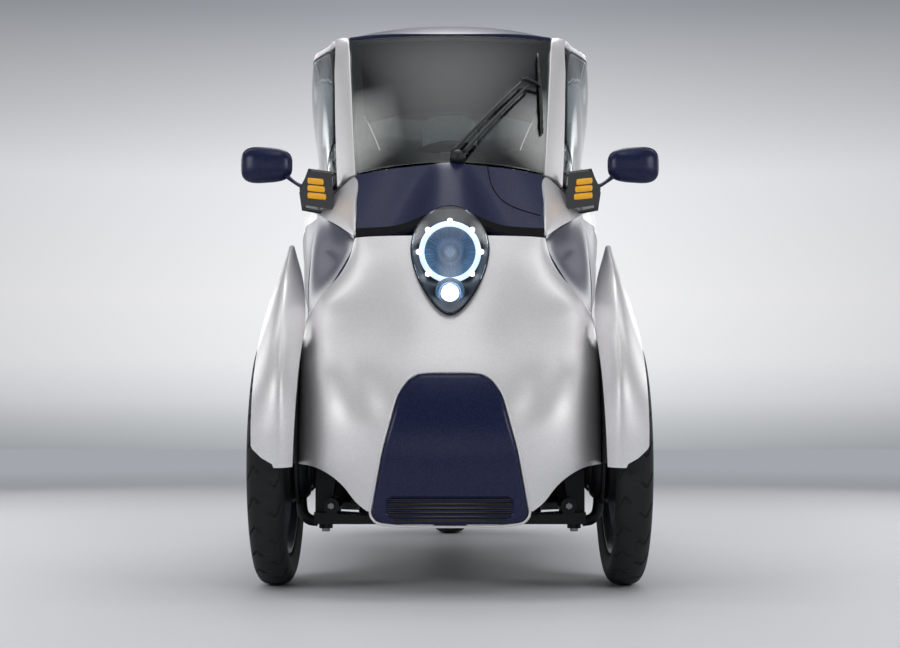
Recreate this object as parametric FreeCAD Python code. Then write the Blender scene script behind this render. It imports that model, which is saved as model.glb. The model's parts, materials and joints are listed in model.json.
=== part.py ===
import FreeCAD, Part
import math
import os

V = FreeCAD.Vector

# A narrow three-wheeled car: two wheels in front, one steered wheel behind, two seats in tandem.
# Frame: +X to the car's left, +Y to the rear, +Z up. The origin is on the ground, under the middle of the body.
# All sizes are in millimetres.

# Overall sizes
WHEELBASE = 1700.0
FRONT_OVERHANG = 305.0
REAR_OVERHANG = 345.0
BODY_WIDTH = 850.0
BODY_HEIGHT = 1445.0

# Front wheels
TYRE_RADIUS = 275.0
TYRE_WIDTH = 78.0
RIM_RADIUS = 207.0
RIM_WIDTH = 58.0
WHEEL_INSET = 44.0
TRACK = BODY_WIDTH - 2 * WHEEL_INSET
SPOKE_FACE = 18.0
FRONT_HUB_RADIUS = 42.0
SPINDLE_RADIUS = 15.0
KNUCKLE_RADIUS = 96.0
ARCH_CLEARANCE = 32.0

# Rear wheel and its steering
REAR_TYRE_RADIUS = 235.0
REAR_TYRE_WIDTH = 118.0
REAR_RIM_RADIUS = 135.0
REAR_RIM_WIDTH = 96.0
REAR_HUB_RADIUS = 34.0
REAR_AXLE_RADIUS = 10.0
YOKE_CLEARANCE = 12.0
YOKE_PLATE = 18.0
STEM_RADIUS = 22.0
HEAD_RADIUS = 40.0
HEAD_BOTTOM = 510.0
HEAD_LENGTH = 140.0

# Spokes of all wheels
SPOKES = 5
RUNNING_FIT = 0.05

# Walls and gaps
NOSE_WALL = 10.0
COWL_WALL = 8.0
DOOR_WALL = 42.0
QUARTER_WALL = 26.0
ROOF_WALL = 22.0
GLASS_WALL = 6.0
SIDE_GLASS_WALL = 12.0
RAIL_WALL = 20.0
FOOT_WALL = 9.0
FLANK_WALL = 8.0
TAIL_WALL = 10.0
FENDER_WALL = 4.0
LINER_WALL = 8.0
FLOOR_WALL = 16.0
SILL_WALL = 50.0
SEAM = 0.8
SHUT_GAP = 5.5
FRONT_GAP = 9.0
SEAT_GAP = 0.3

# Doors and their hinges
DOOR_FRONT = 345.0
DOOR_REAR = 1150.0
HINGE_HEIGHTS = (540.0, 700.0)
HINGE_X = 334.0
HINGE_SETBACK = 14.0
PIN_RADIUS = 4.0
BARREL_RADIUS = 6.5

# Door mirrors
MIRROR_WIDTH = 124.0
MIRROR_HEIGHT = 86.0

# Bows of the panes across their middle
GLASS_BOW = 14.0
GLASS_DROP = 14.0
SCREEN_BOW = 14.0

# Nose, shield panel and headlamp
NOSE_BOTTOM = 148.0
CHEEK = 20.0
CREASE = 8.0
SHIELD_FILLET = 10.0
INTAKE_DEPTH = 6.0
LAMP_WIDTH = 168.0
LAMP_DROP = 33.0
BOWL_STATION = -36.0
BOWL_WALL = 9.0
RING_OUTER = 71.0
RING_INNER = 57.0
SMALL_LAMP_RADIUS = 33.0
SMALL_LAMP_DROP = 99.0

# Suspension
ARM_BOTTOM = 134.0
ARM_HALF = 60.0
FRAME_BOTTOM = 140.0
FRAME_HALF = 66.0
STAY_WALL = 6.0
STAY_GAP = 2.0

# Seats, battery and controls
BATTERY_TOP = 329.0
SEAT_BASE_RISE = 41.0
WHEEL_STATION = 500.0
WHEEL_HEIGHT = 905.0
WHEEL_TILT = 24.0
WHEEL_RIM = 160.0
COLUMN_RADIUS = 12.0

# The lines plan below is drawn for a hull of these proportions and is stretched to the overall sizes above.
PLAN = {"width": 850.0, "height": 1445.0, "base": 1700.0, "front": 305.0, "rear": 345.0, "tyre": 275.0}
FLOOR_LINE = 660.0

FRONT_AXLE_Y = -(WHEELBASE + FRONT_OVERHANG + REAR_OVERHANG) / 2.0 + FRONT_OVERHANG
REAR_AXLE_Y = FRONT_AXLE_Y + WHEELBASE
REAR_CENTRE = V(0, REAR_AXLE_Y, REAR_TYRE_RADIUS)
STEM_TOP = HEAD_BOTTOM + HEAD_LENGTH - 10


def station(s):
    """Distance behind the front axle, from the lines plan to the real body."""
    if s < 0:
        return s * FRONT_OVERHANG / PLAN["front"]
    if s > PLAN["base"]:
        return WHEELBASE + (s - PLAN["base"]) * REAR_OVERHANG / PLAN["rear"]
    return s * WHEELBASE / PLAN["base"]


def ys(s):
    return FRONT_AXLE_Y + station(s)


def wide(x):
    """Breadth from the lines plan to the real body: the sides move out with its width, the middle less."""
    share = min(1.0, abs(x) * 2 / PLAN["width"])
    shift = (BODY_WIDTH - PLAN["width"]) / 2 * share * (2 - share)
    return x + math.copysign(shift, x)


def high(z):
    """Height from the lines plan to the real body: what is above the floor line grows with its height."""
    share = max(0.0, (z - FLOOR_LINE) / (PLAN["height"] - FLOOR_LINE))
    return z + (BODY_HEIGHT - PLAN["height"]) * share ** 1.5


def at(x, s, z):
    """A point of the lines plan: half-breadth x, station s behind the front axle, height z."""
    return V(wide(x), ys(s), high(z))


def spline(knots):
    """Smooth curve through (parameter, value) knots. A value is a number or a tuple of numbers."""
    ts = [k[0] for k in knots]
    scalar = not isinstance(knots[0][1], tuple)
    vs = [(k[1],) if scalar else k[1] for k in knots]
    last = len(ts) - 1
    chords = [[(b - a) / (ts[i + 1] - ts[i]) for a, b in zip(vs[i], vs[i + 1])] for i in range(last)]
    slopes = []
    for i in range(len(ts)):
        if i == 0 or i == last:
            slopes.append(chords[0] if i == 0 else chords[-1])
            continue
        before, after = ts[i] - ts[i - 1], ts[i + 1] - ts[i]
        slopes.append([(p * after + q * before) / (before + after) for p, q in zip(chords[i - 1], chords[i])])

    def value(t):
        t = min(max(t, ts[0]), ts[-1])
        i = min(max(k for k in range(len(ts)) if ts[k] <= t), last - 1)
        span = ts[i + 1] - ts[i]
        f = (t - ts[i]) / span
        h = (2 * f**3 - 3 * f**2 + 1, f**3 - 2 * f**2 + f, -2 * f**3 + 3 * f**2, f**3 - f**2)
        out = tuple(
            h[0] * a + h[1] * span * m + h[2] * b + h[3] * span * n
            for a, b, m, n in zip(vs[i], vs[i + 1], slopes[i], slopes[i + 1])
        )
        return out[0] if scalar else out

    return value


def surface_through(points):
    surface = Part.BSplineSurface()
    surface.interpolate(points)
    return surface


def solid_between(outer, inner):
    """Closed solid between two grids of points, joined along their four edges by ruled faces."""
    top, bottom = surface_through(outer), surface_through(inner)
    faces = [top.toShape(), bottom.toShape()]
    for k in range(4):
        edges = []
        for surface in (top, bottom):
            u0, u1, v0, v1 = surface.bounds()
            curve = (surface.uIso(u0), surface.uIso(u1), surface.vIso(v0), surface.vIso(v1))[k]
            edges.append(curve.toShape())
        faces.append(Part.makeRuledSurface(edges[0], edges[1]))
    shell = Part.makeShell(faces)
    shell.sewShape()
    solid = Part.makeSolid(Part.Shell(shell.Faces))
    if solid.Volume < 0:
        solid.reverse()
    return solid


def skin(shape, columns, rows, wall, inward):
    """Curved panel: shape(a, b) is its outer face for a and b from 0 to 1, inward(a, b) its wall's direction."""
    outer, inner = [], []
    for i in range(columns):
        a = i / (columns - 1)
        outer.append([shape(a, j / (rows - 1)) for j in range(rows)])
        inner.append([outer[-1][j] + inward(a, j / (rows - 1)) * wall for j in range(rows)])
    return solid_between(outer, inner)


def largest(shape):
    """The main solid of a shape, without the offcuts that a cut leaves on the far side."""
    return max(shape.Solids, key=lambda solid: solid.Volume)


def mirrored(shape):
    return shape.mirror(V(0, 0, 0), V(1, 0, 0))


def pair(left):
    """A piece of the left side and its mirror image, as two solids."""
    return Part.makeCompound([left, mirrored(left)])


def along(vector):
    return lambda a, b: vector


INBOARD = along(V(-1, 0, 0))
DOWN = along(V(0, 0, -1))
UP = along(V(0, 0, 1))
REARWARD = along(V(0, 1, 0))
FORWARD = along(V(0, -1, 0))
SCREEN_INWARD = V(0, 0.77, -0.64)
COWL_INWARD = V(0, 0.75, -0.66)


def prism_y(points, low, high_end):
    """Prism along Y over a closed outline of (x, z) points."""
    wire = Part.makePolygon([V(x, low, z) for x, z in points + points[:1]])
    return Part.Face(wire).extrude(V(0, high_end - low, 0))


def prism_x(points, low, high_end):
    """Prism along X over a closed outline of (y, z) points."""
    wire = Part.makePolygon([V(low, y, z) for y, z in points + points[:1]])
    return Part.Face(wire).extrude(V(high_end - low, 0, 0))


def cylinder(radius, start, end):
    return Part.makeCylinder(radius, (end - start).Length, start, end - start)


def fuse(*solids):
    return solids[0].fuse(list(solids[1:])).removeSplitter()


def grown(outline, margin):
    """Outline moved outwards from its middle by about a margin."""
    cx = sum(x for x, z in outline) / len(outline)
    cz = sum(z for x, z in outline) / len(outline)
    out = []
    for x, z in outline:
        length = math.hypot(x - cx, z - cz)
        out.append((x + (x - cx) * margin / length, z + (z - cz) * margin / length))
    return out


def plan_outline(half):
    """Closed outline over both sides of the body from (x, z) points of its left half, from the top down."""
    left = [(wide(x), high(z)) for x, z in half]
    return left + [(-x, z) for x, z in reversed(left)]


def rounded_box(low, high_corner, radius):
    size = high_corner - low
    box = Part.makeBox(size.x, size.y, size.z, low)
    return box.makeFillet(radius, box.Edges)


def tilted(shape, pivot, degrees):
    shape = shape.copy()
    shape.rotate(pivot, V(1, 0, 0), degrees)
    return shape


# Side of the body, from the sill up to the belt line under the windows. Each knot is (station, (x, z)).
widest = spline([(300, (343, 640)), (400, (353, 680)), (550, (376, 790)), (700, (389, 830)), (850, (407, 850)),
                 (1000, (422, 865)), (1150, (424, 865)), (1300, (413, 860)), (1500, (381, 850)),
                 (1700, (336, 840)), (1850, (291, 835)), (1990, (232, 830))])
belt = spline([(248, (271, 914)), (300, (283, 900)), (345, (293, 905)), (400, (303, 925)), (550, (335, 968)),
               (700, (350, 1012)), (870, (362, 1068)), (1000, (368, 1102)), (1150, (366, 1122)),
               (1300, (352, 1120)), (1500, (320, 1092)), (1700, (278, 1056)), (1850, (244, 1030)),
               (1990, (202, 1004))])
sill = spline([(300, (300, 262)), (400, (302, 240)), (700, (312, 222)), (1000, (326, 226)), (1150, (328, 250)),
               (1300, (330, 350)), (1450, (322, 475)), (1600, (302, 548)), (1750, (268, 570)),
               (1990, (176, 575))])
TAIL_STATION = 1985.0
SIDE_POWER = 2.4


def side_point(s, v):
    """Point of the side: v is -1 at the sill, 0 at the widest line and 1 at the belt."""
    xw, zw = widest(s)
    x1, z1 = belt(s) if v > 0 else sill(s)
    return at(xw - (xw - x1) * abs(v) ** SIDE_POWER, s, zw + (z1 - zw) * abs(v))


def side_at_height(s, z):
    """Half-breadth of the side at station s and height z, in the lines plan."""
    xw, zw = widest(s)
    x1, z1 = belt(s) if z > zw else sill(s)
    v = min(1.0, abs((z - zw) / (z1 - zw)))
    return xw - (xw - x1) * v**SIDE_POWER


def side_panel(s0, s1, wall):
    """Part of the body side between two stations, from the sill up to the belt."""
    return skin(lambda a, b: side_point(s0 + (s1 - s0) * a, 2 * b - 1), 17, 15, wall, INBOARD)


# Upper edge of the side glass: along the windscreen pillar, then along the roof
glass_top = spline([(248, (272, 918)), (378, (287, 1100)), (508, (300, 1278)), (560, (307, 1328)),
                    (620, (320, 1350)), (700, (339, 1363)), (870, (383, 1381)), (1000, (386, 1382)),
                    (1150, (371, 1370)), (1300, (344, 1342)), (1500, (299, 1279)), (1700, (257, 1188)),
                    (1850, (227, 1101)), (1990, (196, 1004))])


def glass_point(s, v):
    """Point of the side window zone: v is 0 at the belt and 1 at the upper edge."""
    x0, z0 = belt(s)
    x1, z1 = glass_top(s)
    return at(x0 + (x1 - x0) * v + GLASS_BOW * 4 * v * (1 - v), s, z0 + (z1 - z0) * v)


def window_panel(s0, s1, wall, low_gap, top_gap):
    """Part of the window zone, set back from its lower and upper edges by the two gaps."""
    def point(a, b):
        s = s0 + (s1 - s0) * a
        height = glass_top(s)[1] - belt(s)[1]
        v0, v1 = low_gap / height, 1 - top_gap / height
        return glass_point(s, v0 + (v1 - v0) * b)
    return skin(point, 17, 7, wall, INBOARD)


# Roof: its outer edge, its crown and the breadth of the white rail along its edge
roof_edge = spline([(490, (283, 1342)), (600, (313, 1355)), (700, (340, 1367)), (870, (384, 1385)),
                    (1000, (387, 1386)), (1150, (372, 1374)), (1300, (345, 1346)), (1500, (300, 1283)),
                    (1700, (258, 1192)), (1850, (228, 1105)), (1990, (197, 1008))])
roof_crown = spline([(452, 1345), (500, 1366), (600, 1402), (700, 1426), (800, 1440), (900, 1445), (1000, 1444),
                     (1150, 1430), (1300, 1402), (1500, 1338), (1700, 1243), (1850, 1150), (1990, 1052)])
rail_width = spline([(490, 22), (560, 36), (650, 46), (1000, 52), (1500, 46), (1990, 40)])
ROOF_REAR = 1450.0
ROOF_POWER = 2.3


def roof_point(s, q):
    """Point of the roof: q is -1 at the right edge, 0 on the crown and 1 at the left edge."""
    x1, z1 = roof_edge(s)
    z0 = roof_crown(s)
    return at(q * x1, s, z1 + (z0 - z1) * (1 - abs(q) ** ROOF_POWER))


def roof_inner(s):
    """The share of the half-breadth at which the roof panel meets the white rail."""
    x1 = roof_edge(s)[0]
    return (x1 - rail_width(s)) / x1


def roof_panel():
    def point(a, b):
        q = 2 * b - 1
        front = 453 + 47 * q * q
        s = front + (ROOF_REAR - front) * a
        return roof_point(s, q * (roof_inner(s) - SEAM / 300))

    def inward(a, b):
        share = min(1.0, a / 0.1)
        return SCREEN_INWARD * (1 - share) + V(0, 0, -1) * share
    return skin(point, 21, 15, ROOF_WALL, inward)


def rear_window():
    def point(a, b):
        s = ROOF_REAR + 2 + (TAIL_STATION - 3 - ROOF_REAR - 2) * a
        return roof_point(s, (2 * b - 1) * (roof_inner(s) - SEAM / 200))
    return skin(point, 13, 13, GLASS_WALL, DOWN)


# Windscreen and the cowl below it
def screen_point(q, t):
    """Point of the windscreen: q from -1 to 1 across, t from 0 at the cowl to 1 at the roof."""
    bow = SCREEN_BOW * 4 * t * (1 - t)
    x = q * (224 + 37 * t)
    s = 130 + 320 * t + (45 + 5 * t) * q * q - 0.77 * bow
    z = 959 + 383 * t - 21 * (1 - t) * q * q + 0.64 * bow
    return at(x, s, z)


def windscreen():
    side = 1 - SEAM / 240
    return skin(lambda a, b: screen_point((2 * a - 1) * side, 0.004 + 0.99 * b), 13, 9, GLASS_WALL,
                along(SCREEN_INWARD))


def cowl_point(q, t):
    """Point of the cowl: t from 0 at the nose to 1 at the windscreen, with the hood over the lamp."""
    x = q * (211 + 13 * t)
    hood = (46 * (1 - t) ** 0.8 + 6) * math.exp(-((x / (92 - 50 * t)) ** 2))
    s = -25 + 155 * t + (25 + 20 * t) * q * q - 0.75 * hood
    z = 768 + 188 * t - 18 * t * q * q + 0.66 * hood
    return at(x, s, z)


def cowl_skin():
    return skin(lambda a, b: cowl_point(2 * a - 1, 0.01 + 0.98 * b), 25, 9, COWL_WALL, along(COWL_INWARD))


# Nose: level lines from the centre round to the side. Each knot is (height, station or half-breadth).
nose_centre = spline([(130, -278), (160, -290), (220, -301), (300, -305), (380, -293), (455, -264), (520, -230),
                      (582, -196), (640, -160), (700, -122), (772, -62)])
nose_breadth = spline([(130, 322), (265, 327), (400, 326), (500, 325), (580, 318), (620, 300), (650, 275),
                       (671, 255), (713, 228), (772, 211)])
NOSE_TOP = 772.0 - 7.0
NOSE_CORNER = -5.0
CORNER_SHARE = 0.6


def nose_relief(x, z):
    """Forms on the nose: a full cheek before each wheel and the crease that parts it from the centre."""
    cheek = CHEEK * math.exp(-(((x - 255) / 72) ** 2) - ((z - 400) / 110) ** 2)
    waist = 12 * math.exp(-(((x - 175) / 70) ** 2) - ((z - 590) / 70) ** 2)
    line = 160 + (z - 360) * 0.33
    fade = min(max((z - 330) / 60, 0.0), 1.0) * min(max((640 - z) / 60, 0.0), 1.0)
    crease = CREASE * math.exp(-(((x - line) / 26) ** 2)) * fade * fade * (3 - 2 * fade)
    return waist + crease - cheek


def nose_point(q, z):
    """Point of the nose at height z: |q| is 0 at the centre, 0.6 at the corner and 1 at the door."""
    share = abs(q)
    centre, breadth = nose_centre(z), nose_breadth(z)
    if share <= CORNER_SHARE:
        angle = math.radians(90) * share / CORNER_SHARE
        x = breadth * math.sin(angle) ** 0.86
        s = NOSE_CORNER + (centre - NOSE_CORNER) * math.cos(angle) ** 0.8
    else:
        f = (share - CORNER_SHARE) / (1 - CORNER_SHARE)
        rear = side_at_height(DOOR_FRONT - FRONT_GAP, z)
        s = NOSE_CORNER + (DOOR_FRONT - FRONT_GAP - NOSE_CORNER) * f
        x = breadth + (rear - breadth) * f * f * (3 - 2 * f) * (0.35 + 0.65 * f)
    return at(x if q >= 0 else -x, s + nose_relief(x, z), z)


def nose_inward(a, b):
    share = abs(2 * a - 1)
    turn = math.radians(90) * min(1.0, share / 0.62)
    side = -1 if a > 0.5 else 1
    return V(side * math.sin(turn), math.cos(turn), 0)


def nose_skin(wall, lift):
    """Skin of the nose over its whole height, its outer face moved forward by a lift."""
    return skin(lambda a, b: nose_point(2 * a - 1, NOSE_BOTTOM + (NOSE_TOP - NOSE_BOTTOM) * b) - V(0, lift, 0),
                37, 17, wall, nose_inward)


# Left halves of the shield-shaped panel and of the air intake at its foot
SHIELD = [(62, 455), (86, 441), (107, 411), (123, 349), (137, 298), (153.6, 207), (162, 166), (143, 146)]
INTAKE = [(118, 203), (129, 196), (131, 168), (122, 160)]

# Lower edge of the nose beside the wheel, seen from the front: the suspension shows under it
OPENING_EDGE = [(120, 132), (165, 169), (192, 190), (220, 224), (269, 258), (330, 268)]


def shield_prism(margin):
    """Block whose outline is the shield, grown by a margin, with rounded corners."""
    block = prism_y(grown(plan_outline(SHIELD), margin), ys(-400), ys(0))
    return block.makeFillet(SHIELD_FILLET, [e for e in block.Edges if abs(e.BoundBox.YLength) > 300])


def lamp_prism(margin, rear):
    """Block whose outline is the drop-shaped headlamp, grown by a margin."""
    centre = NOSE_TOP - LAMP_DROP
    points = []
    for k in range(32):
        angle = 2 * math.pi * k / 32
        up, out = math.cos(angle), math.sin(angle)
        x = (LAMP_WIDTH / 2 + margin) * out * (1 - 0.30 * max(0.0, -up) ** 1.5)
        reach = 104 if up > 0 else 150
        points.append(V(x, ys(-400), high(centre + (reach + margin) * up)))
    curve = Part.BSplineCurve()
    curve.interpolate(points, PeriodicFlag=True)
    return Part.Face(Part.Wire(curve.toShape())).extrude(V(0, rear - ys(-400), 0))


lens_slope = spline([(570, -214), (640, -186), (700, -150), (760, -108), (800, -72), (845, -22)])


def lens_point(a, b):
    """Clear cover over the lamp: it follows the slope from the nose up to the cowl."""
    x = (2 * a - 1) * 110
    z = 570 + 275 * b
    return at(x, lens_slope(z) + 34 * (x / 100) ** 2, z)


def nose_openings():
    """Cuts in the nose beside the left wheel: under its corner, round the axle and behind it."""
    front = ys(-340)
    edge = [V(wide(x), front, z) for x, z in OPENING_EDGE]
    curve = Part.BSplineCurve()
    curve.interpolate(edge)
    far, low = wide(480), 100.0
    rest = Part.makePolygon([edge[-1], V(far, front, edge[-1].z), V(far, front, low), V(edge[0].x, front, low), edge[0]])
    under = Part.Face(Part.Wire([curve.toShape()] + rest.Edges)).extrude(V(0, FRONT_AXLE_Y - front, 0))
    hub = V(wide(240), FRONT_AXLE_Y, TYRE_RADIUS)
    around = cylinder(KNUCKLE_RADIUS + ARCH_CLEARANCE, hub, hub + V(200, 0, 0))
    behind = Part.makeBox(200, 290, 130, V(wide(240), FRONT_AXLE_Y - 10, 140))
    return [under, around, behind]


def nose_shell(flank):
    shell = nose_skin(NOSE_WALL, 0.0)
    above_flank = [(ys(-4), 655), (ys(DOOR_FRONT), 618), (ys(DOOR_FRONT), high(800)), (ys(-4), high(800))]
    cuts = nose_openings() + [prism_x(above_flank, wide(150), wide(460)), flank, floor()]
    shell = shell.cut(shield_prism(SEAM)).cut(lamp_prism(SEAM, ys(200)))
    for tool in cuts:
        shell = shell.cut(tool).cut(mirrored(tool))
    return largest(shell)


def shield_panel():
    """Shield-shaped panel in the nose, with the shallow air intake along its foot."""
    panel = nose_skin(NOSE_WALL, 0.0).common(shield_prism(0.0))
    intake = prism_y(plan_outline(INTAKE), ys(-400), ys(0))
    return largest(panel.cut(nose_skin(INTAKE_DEPTH + 4, 4.0).common(intake)))


def headlamp():
    """Cover and housing of the lamp. The housing is a bowl with the light ring and a small round lamp in it."""
    inset = SEAM - SEAT_GAP
    lens = skin(lens_point, 13, 13, 4.0, REARWARD).common(lamp_prism(inset, ys(200)))
    behind = skin(lambda a, b: lens_point(a, b) + V(0, 4.3, 0), 13, 13, 300.0, REARWARD)
    back = ys(BOWL_STATION)
    bowl = lamp_prism(inset, back + 6).common(behind)
    bowl = bowl.cut(lamp_prism(-BOWL_WALL, back))
    centre = high(NOSE_TOP - LAMP_DROP)
    ring_axis = V(0, back - 36, centre - 4)
    ring = cylinder(RING_OUTER, ring_axis, ring_axis + V(0, 38, 0)).cut(
        cylinder(RING_INNER, ring_axis, ring_axis + V(0, 28, 0)))
    small_axis = V(0, back - 90, high(NOSE_TOP - LAMP_DROP - SMALL_LAMP_DROP))
    small = cylinder(SMALL_LAMP_RADIUS, small_axis, small_axis + V(0, 92, 0)).cut(
        cylinder(SMALL_LAMP_RADIUS - 8, small_axis, small_axis + V(0, 10, 0)))
    return lens, largest(fuse(bowl, ring, small).common(behind))


# Lower outer edge of the pillar's white foot, and its upper edge
foot_edge = spline([(0, (216, 772)), (95, (255, 806)), (215, (305, 844)), (338, (346, 880))])
foot_top = spline([(0, (211.6, 775)), (85, (217.6, 856)), (172, (224.6, 932)), (235, (262, 915)), (300, (282, 898)),
                   (338, (290, 901))])


def pillar_foot():
    """White fairing at the foot of the windscreen pillar, which carries the mirror and the indicator."""
    def point(a, b):
        s = 6 + (334 - 6) * a
        x0, z0 = foot_edge(s)
        x1, z1 = foot_top(s)
        return at(x0 + (x1 - x0) * b, s, z0 + (z1 - z0) * b + 22 * b * (1 - b))
    foot = skin(point, 15, 5, FOOT_WALL, along(V(-0.4, 0.3, -0.87)))
    return largest(foot.cut(cowl_skin()).cut(quarter_glass()))


def flank_panel():
    """Dark panel between the nose, the pillar's foot and the door."""
    def point(a, b):
        low = nose_point(0.603 + 0.397 * a, 656.5 - 38 * a)
        middle = nose_point(0.603 + 0.397 * a, 740)
        s = max((low.y - FRONT_AXLE_Y) * PLAN["base"] / WHEELBASE, 4)
        x, z = foot_edge(s)
        top = at(x - 18 * a - 3, s, z - 9)
        return low * ((1 - b) * (1 - 2 * b)) + middle * (4 * b * (1 - b)) + top * (b * (2 * b - 1))
    return largest(skin(point, 15, 9, FLANK_WALL, INBOARD).cut(pillar_foot()))


def indicator():
    """Black indicator pod beside the pillar's foot."""
    front = [(278, 862), (344, 872), (350, 905), (330, 944), (284, 938)]
    rear = [(272, 852), (350, 866), (356, 905), (336, 958), (276, 950)]
    wires = []
    for outline, s in ((front, 178), (rear, 236)):
        points = [at(x, s, z) for x, z in outline]
        wires.append(Part.makePolygon(points + points[:1]))
    return largest(Part.makeLoft(wires, True, True).cut(pillar_foot()))


def ellipsoid(centre, radii):
    ball = Part.makeSphere(1.0)
    scale = FreeCAD.Matrix()
    scale.A11, scale.A22, scale.A33 = radii
    ball = ball.transformGeometry(scale)
    ball.translate(centre)
    return ball


def mirror():
    """Egg-shaped housing of a door mirror, cut off flat at the glass, and its stalk."""
    c = at(441, 250, 974)
    points = []
    for k in range(24):
        angle = 2 * math.pi * k / 24
        across = math.copysign(abs(math.cos(angle)) ** 0.78, math.cos(angle))
        up = math.copysign(abs(math.sin(angle)) ** 0.78, math.sin(angle))
        points.append(c + V(MIRROR_WIDTH / 2 * across, -34, MIRROR_HEIGHT / 2 * up))
    curve = Part.BSplineCurve()
    curve.interpolate(points, PeriodicFlag=True)
    block = Part.Face(Part.Wire(curve.toShape())).extrude(V(0, 58, 0))
    housing = block.common(ellipsoid(c, (MIRROR_WIDTH * 0.64, 30, MIRROR_HEIGHT * 0.66)))
    stalk = cylinder(7, at(345, 212, 915), c - V(50, 0, 20))
    return largest(fuse(housing, stalk).cut(indicator()))


def wiper():
    """Wiper on the windscreen: pivot, two parallel arms and an upright blade."""
    out = SCREEN_INWARD * -1

    def on_screen(x, t, lift):
        return screen_point(x / (224 + 37 * t), t) + out * lift
    pivot = cylinder(15, on_screen(18, 0.02, 1.6), on_screen(18, 0.02, 24))
    arms = [cylinder(3.5, on_screen(6 + 26 * k, 0.03, 16), on_screen(182 + 16 * k, 0.66 - 0.02 * k, 17)) for k in (0, 1)]
    cross = cylinder(4, on_screen(178, 0.66, 17), on_screen(208, 0.655, 13))
    rail_points = [on_screen(206, 0.30 + 0.62 * k / 6, 9) for k in range(7)]
    blade = [cylinder(4.5, p, q) for p, q in zip(rail_points, rail_points[1:])]
    return fuse(pivot, cross, *arms, *blade)


# Doors
def hinge_axis():
    return V(wide(HINGE_X), ys(DOOR_FRONT) + HINGE_SETBACK, 0)


def hinges():
    """Front post with the two hinge arms, barrels and pins of one door."""
    c = hinge_axis()
    foot = floor_height(0) + FLOOR_WALL + SEAT_GAP
    post = Part.makeBox(20, 24, high(856) - foot, V(c.x - 76, c.y - 44, foot))
    parts = [post]
    for z in HINGE_HEIGHTS:
        barrel = Part.makeCylinder(BARREL_RADIUS, 30, V(c.x, c.y, z - 15))
        pin = Part.makeCylinder(PIN_RADIUS, 68, V(c.x, c.y, z - 34))
        arm = Part.makeBox(66, 8, 26, V(c.x - 66, c.y - 4, z - 13))
        leg = Part.makeBox(12, 30, 26, V(c.x - 66, c.y - 30, z - 13))
        parts += [barrel, pin, arm, leg]
    return fuse(*parts)


def door():
    """Door as thick as the real one, with pockets and bores for its hinges."""
    c = hinge_axis()
    body = side_panel(DOOR_FRONT, DOOR_REAR, DOOR_WALL)
    reach = BARREL_RADIUS + 2
    depth = HINGE_SETBACK + 20
    for z in HINGE_HEIGHTS:
        body = body.cut(Part.makeBox(70, depth + reach, 40, V(c.x + reach - 70, c.y - depth, z - 20)))
        body = body.cut(Part.makeCylinder(PIN_RADIUS + RUNNING_FIT, 72, V(c.x, c.y, z - 36)))
    return body


# White rail from the foot of the windscreen pillar, over the roof's edge, down to the tail
def rail_ends(a):
    """Inner and outer edge of the rail, where a runs from the pillar's foot to the tail."""
    if a < 0.3:
        t = a / 0.3
        s = 250 + 262 * t
        x, z = glass_top(s)
        return screen_point(1 + 0.3 / 240, t), at(x, s, z)
    s = 560 + (TAIL_STATION - 560) * (a - 0.3) / 0.7
    return roof_point(s, roof_inner(s)), roof_point(s, 1.0)


def rail():
    stations = [0.054 * k for k in range(6)] + [0.3 + 0.7 * k / 16 for k in range(17)]

    def place(a):
        return stations[round(a * (len(stations) - 1))]

    def point(a, b):
        inner, outer = rail_ends(place(a))
        mid = (inner + outer) * 0.5 + V(5, -3, 6)
        return inner * (1 - b) ** 2 + mid * (2 * b * (1 - b)) + outer * b * b

    def inward(a, b):
        share = min(1.0, max(0.0, (place(a) - 0.2) / 0.1))
        beside = SCREEN_INWARD * (1 - share) + V(0, 0, -1) * share
        outboard = V(-1, 0, 0) * (1 - share) + V(-0.75, 0, -0.66) * share
        return beside * (1 - b) + outboard * b
    return skin(point, len(stations), 5, RAIL_WALL, inward)


def quarter_glass():
    """Fixed glass between the pillar and the door glass."""
    rear = DOOR_FRONT - 4
    glass = skin(lambda a, b: glass_point(262 + (rear - 262) * a, 0.03 + 0.94 * b), 7, 7, GLASS_WALL, INBOARD)
    return largest(glass.cut(rail()))


# Tail
TAIL_LAMP = [(150, 780), (196, 790), (214, 900), (196, 940), (168, 925)]
TAIL_BULGE = 57.0


def tail_skin(wall, lift):
    """Rounded rear face between the side panels, moved rearwards by a lift."""
    def point(a, b):
        q = 2 * a - 1
        z0, z1 = 575.0, roof_edge(1990)[1] + (roof_crown(1990) - roof_edge(1990)[1]) * (1 - abs(q) ** ROOF_POWER) - 4
        z = z0 + (z1 - z0) * b
        half = side_at_height(1990, min(z, 1003))
        bulge = TAIL_BULGE * (1 - abs(q) ** 2.6) * (1 - 0.35 * ((z - 760) / 260) ** 2)
        return at(half * q, 1988 + bulge, z) + V(0, lift, 0)
    return skin(point, 25, 11, wall, FORWARD)


def tail_lamp_prism(margin):
    return prism_y(grown([(wide(x), high(z)) for x, z in TAIL_LAMP], margin), 0, ys(2200))


def tail_lamps():
    """Upright lamps at both corners of the tail."""
    return pair(tail_skin(12, 3).common(tail_lamp_prism(0.0)))


def tail_panel():
    panel = tail_skin(TAIL_WALL, 0.0)
    for tool in (tail_lamp_prism(SEAM), side_panel(DOOR_REAR + SHUT_GAP, TAIL_STATION, QUARTER_WALL), rail()):
        panel = panel.cut(tool).cut(mirrored(tool))
    return largest(panel)


# Floor, sills and the frame of the rear steering
floor_height = spline([(-60, 150), (300, 150), (600, 150), (900, 150), (1040, 152), (1140, 180), (1300, 330),
                       (1450, 462), (1600, 536), (1985, 566)])


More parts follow.
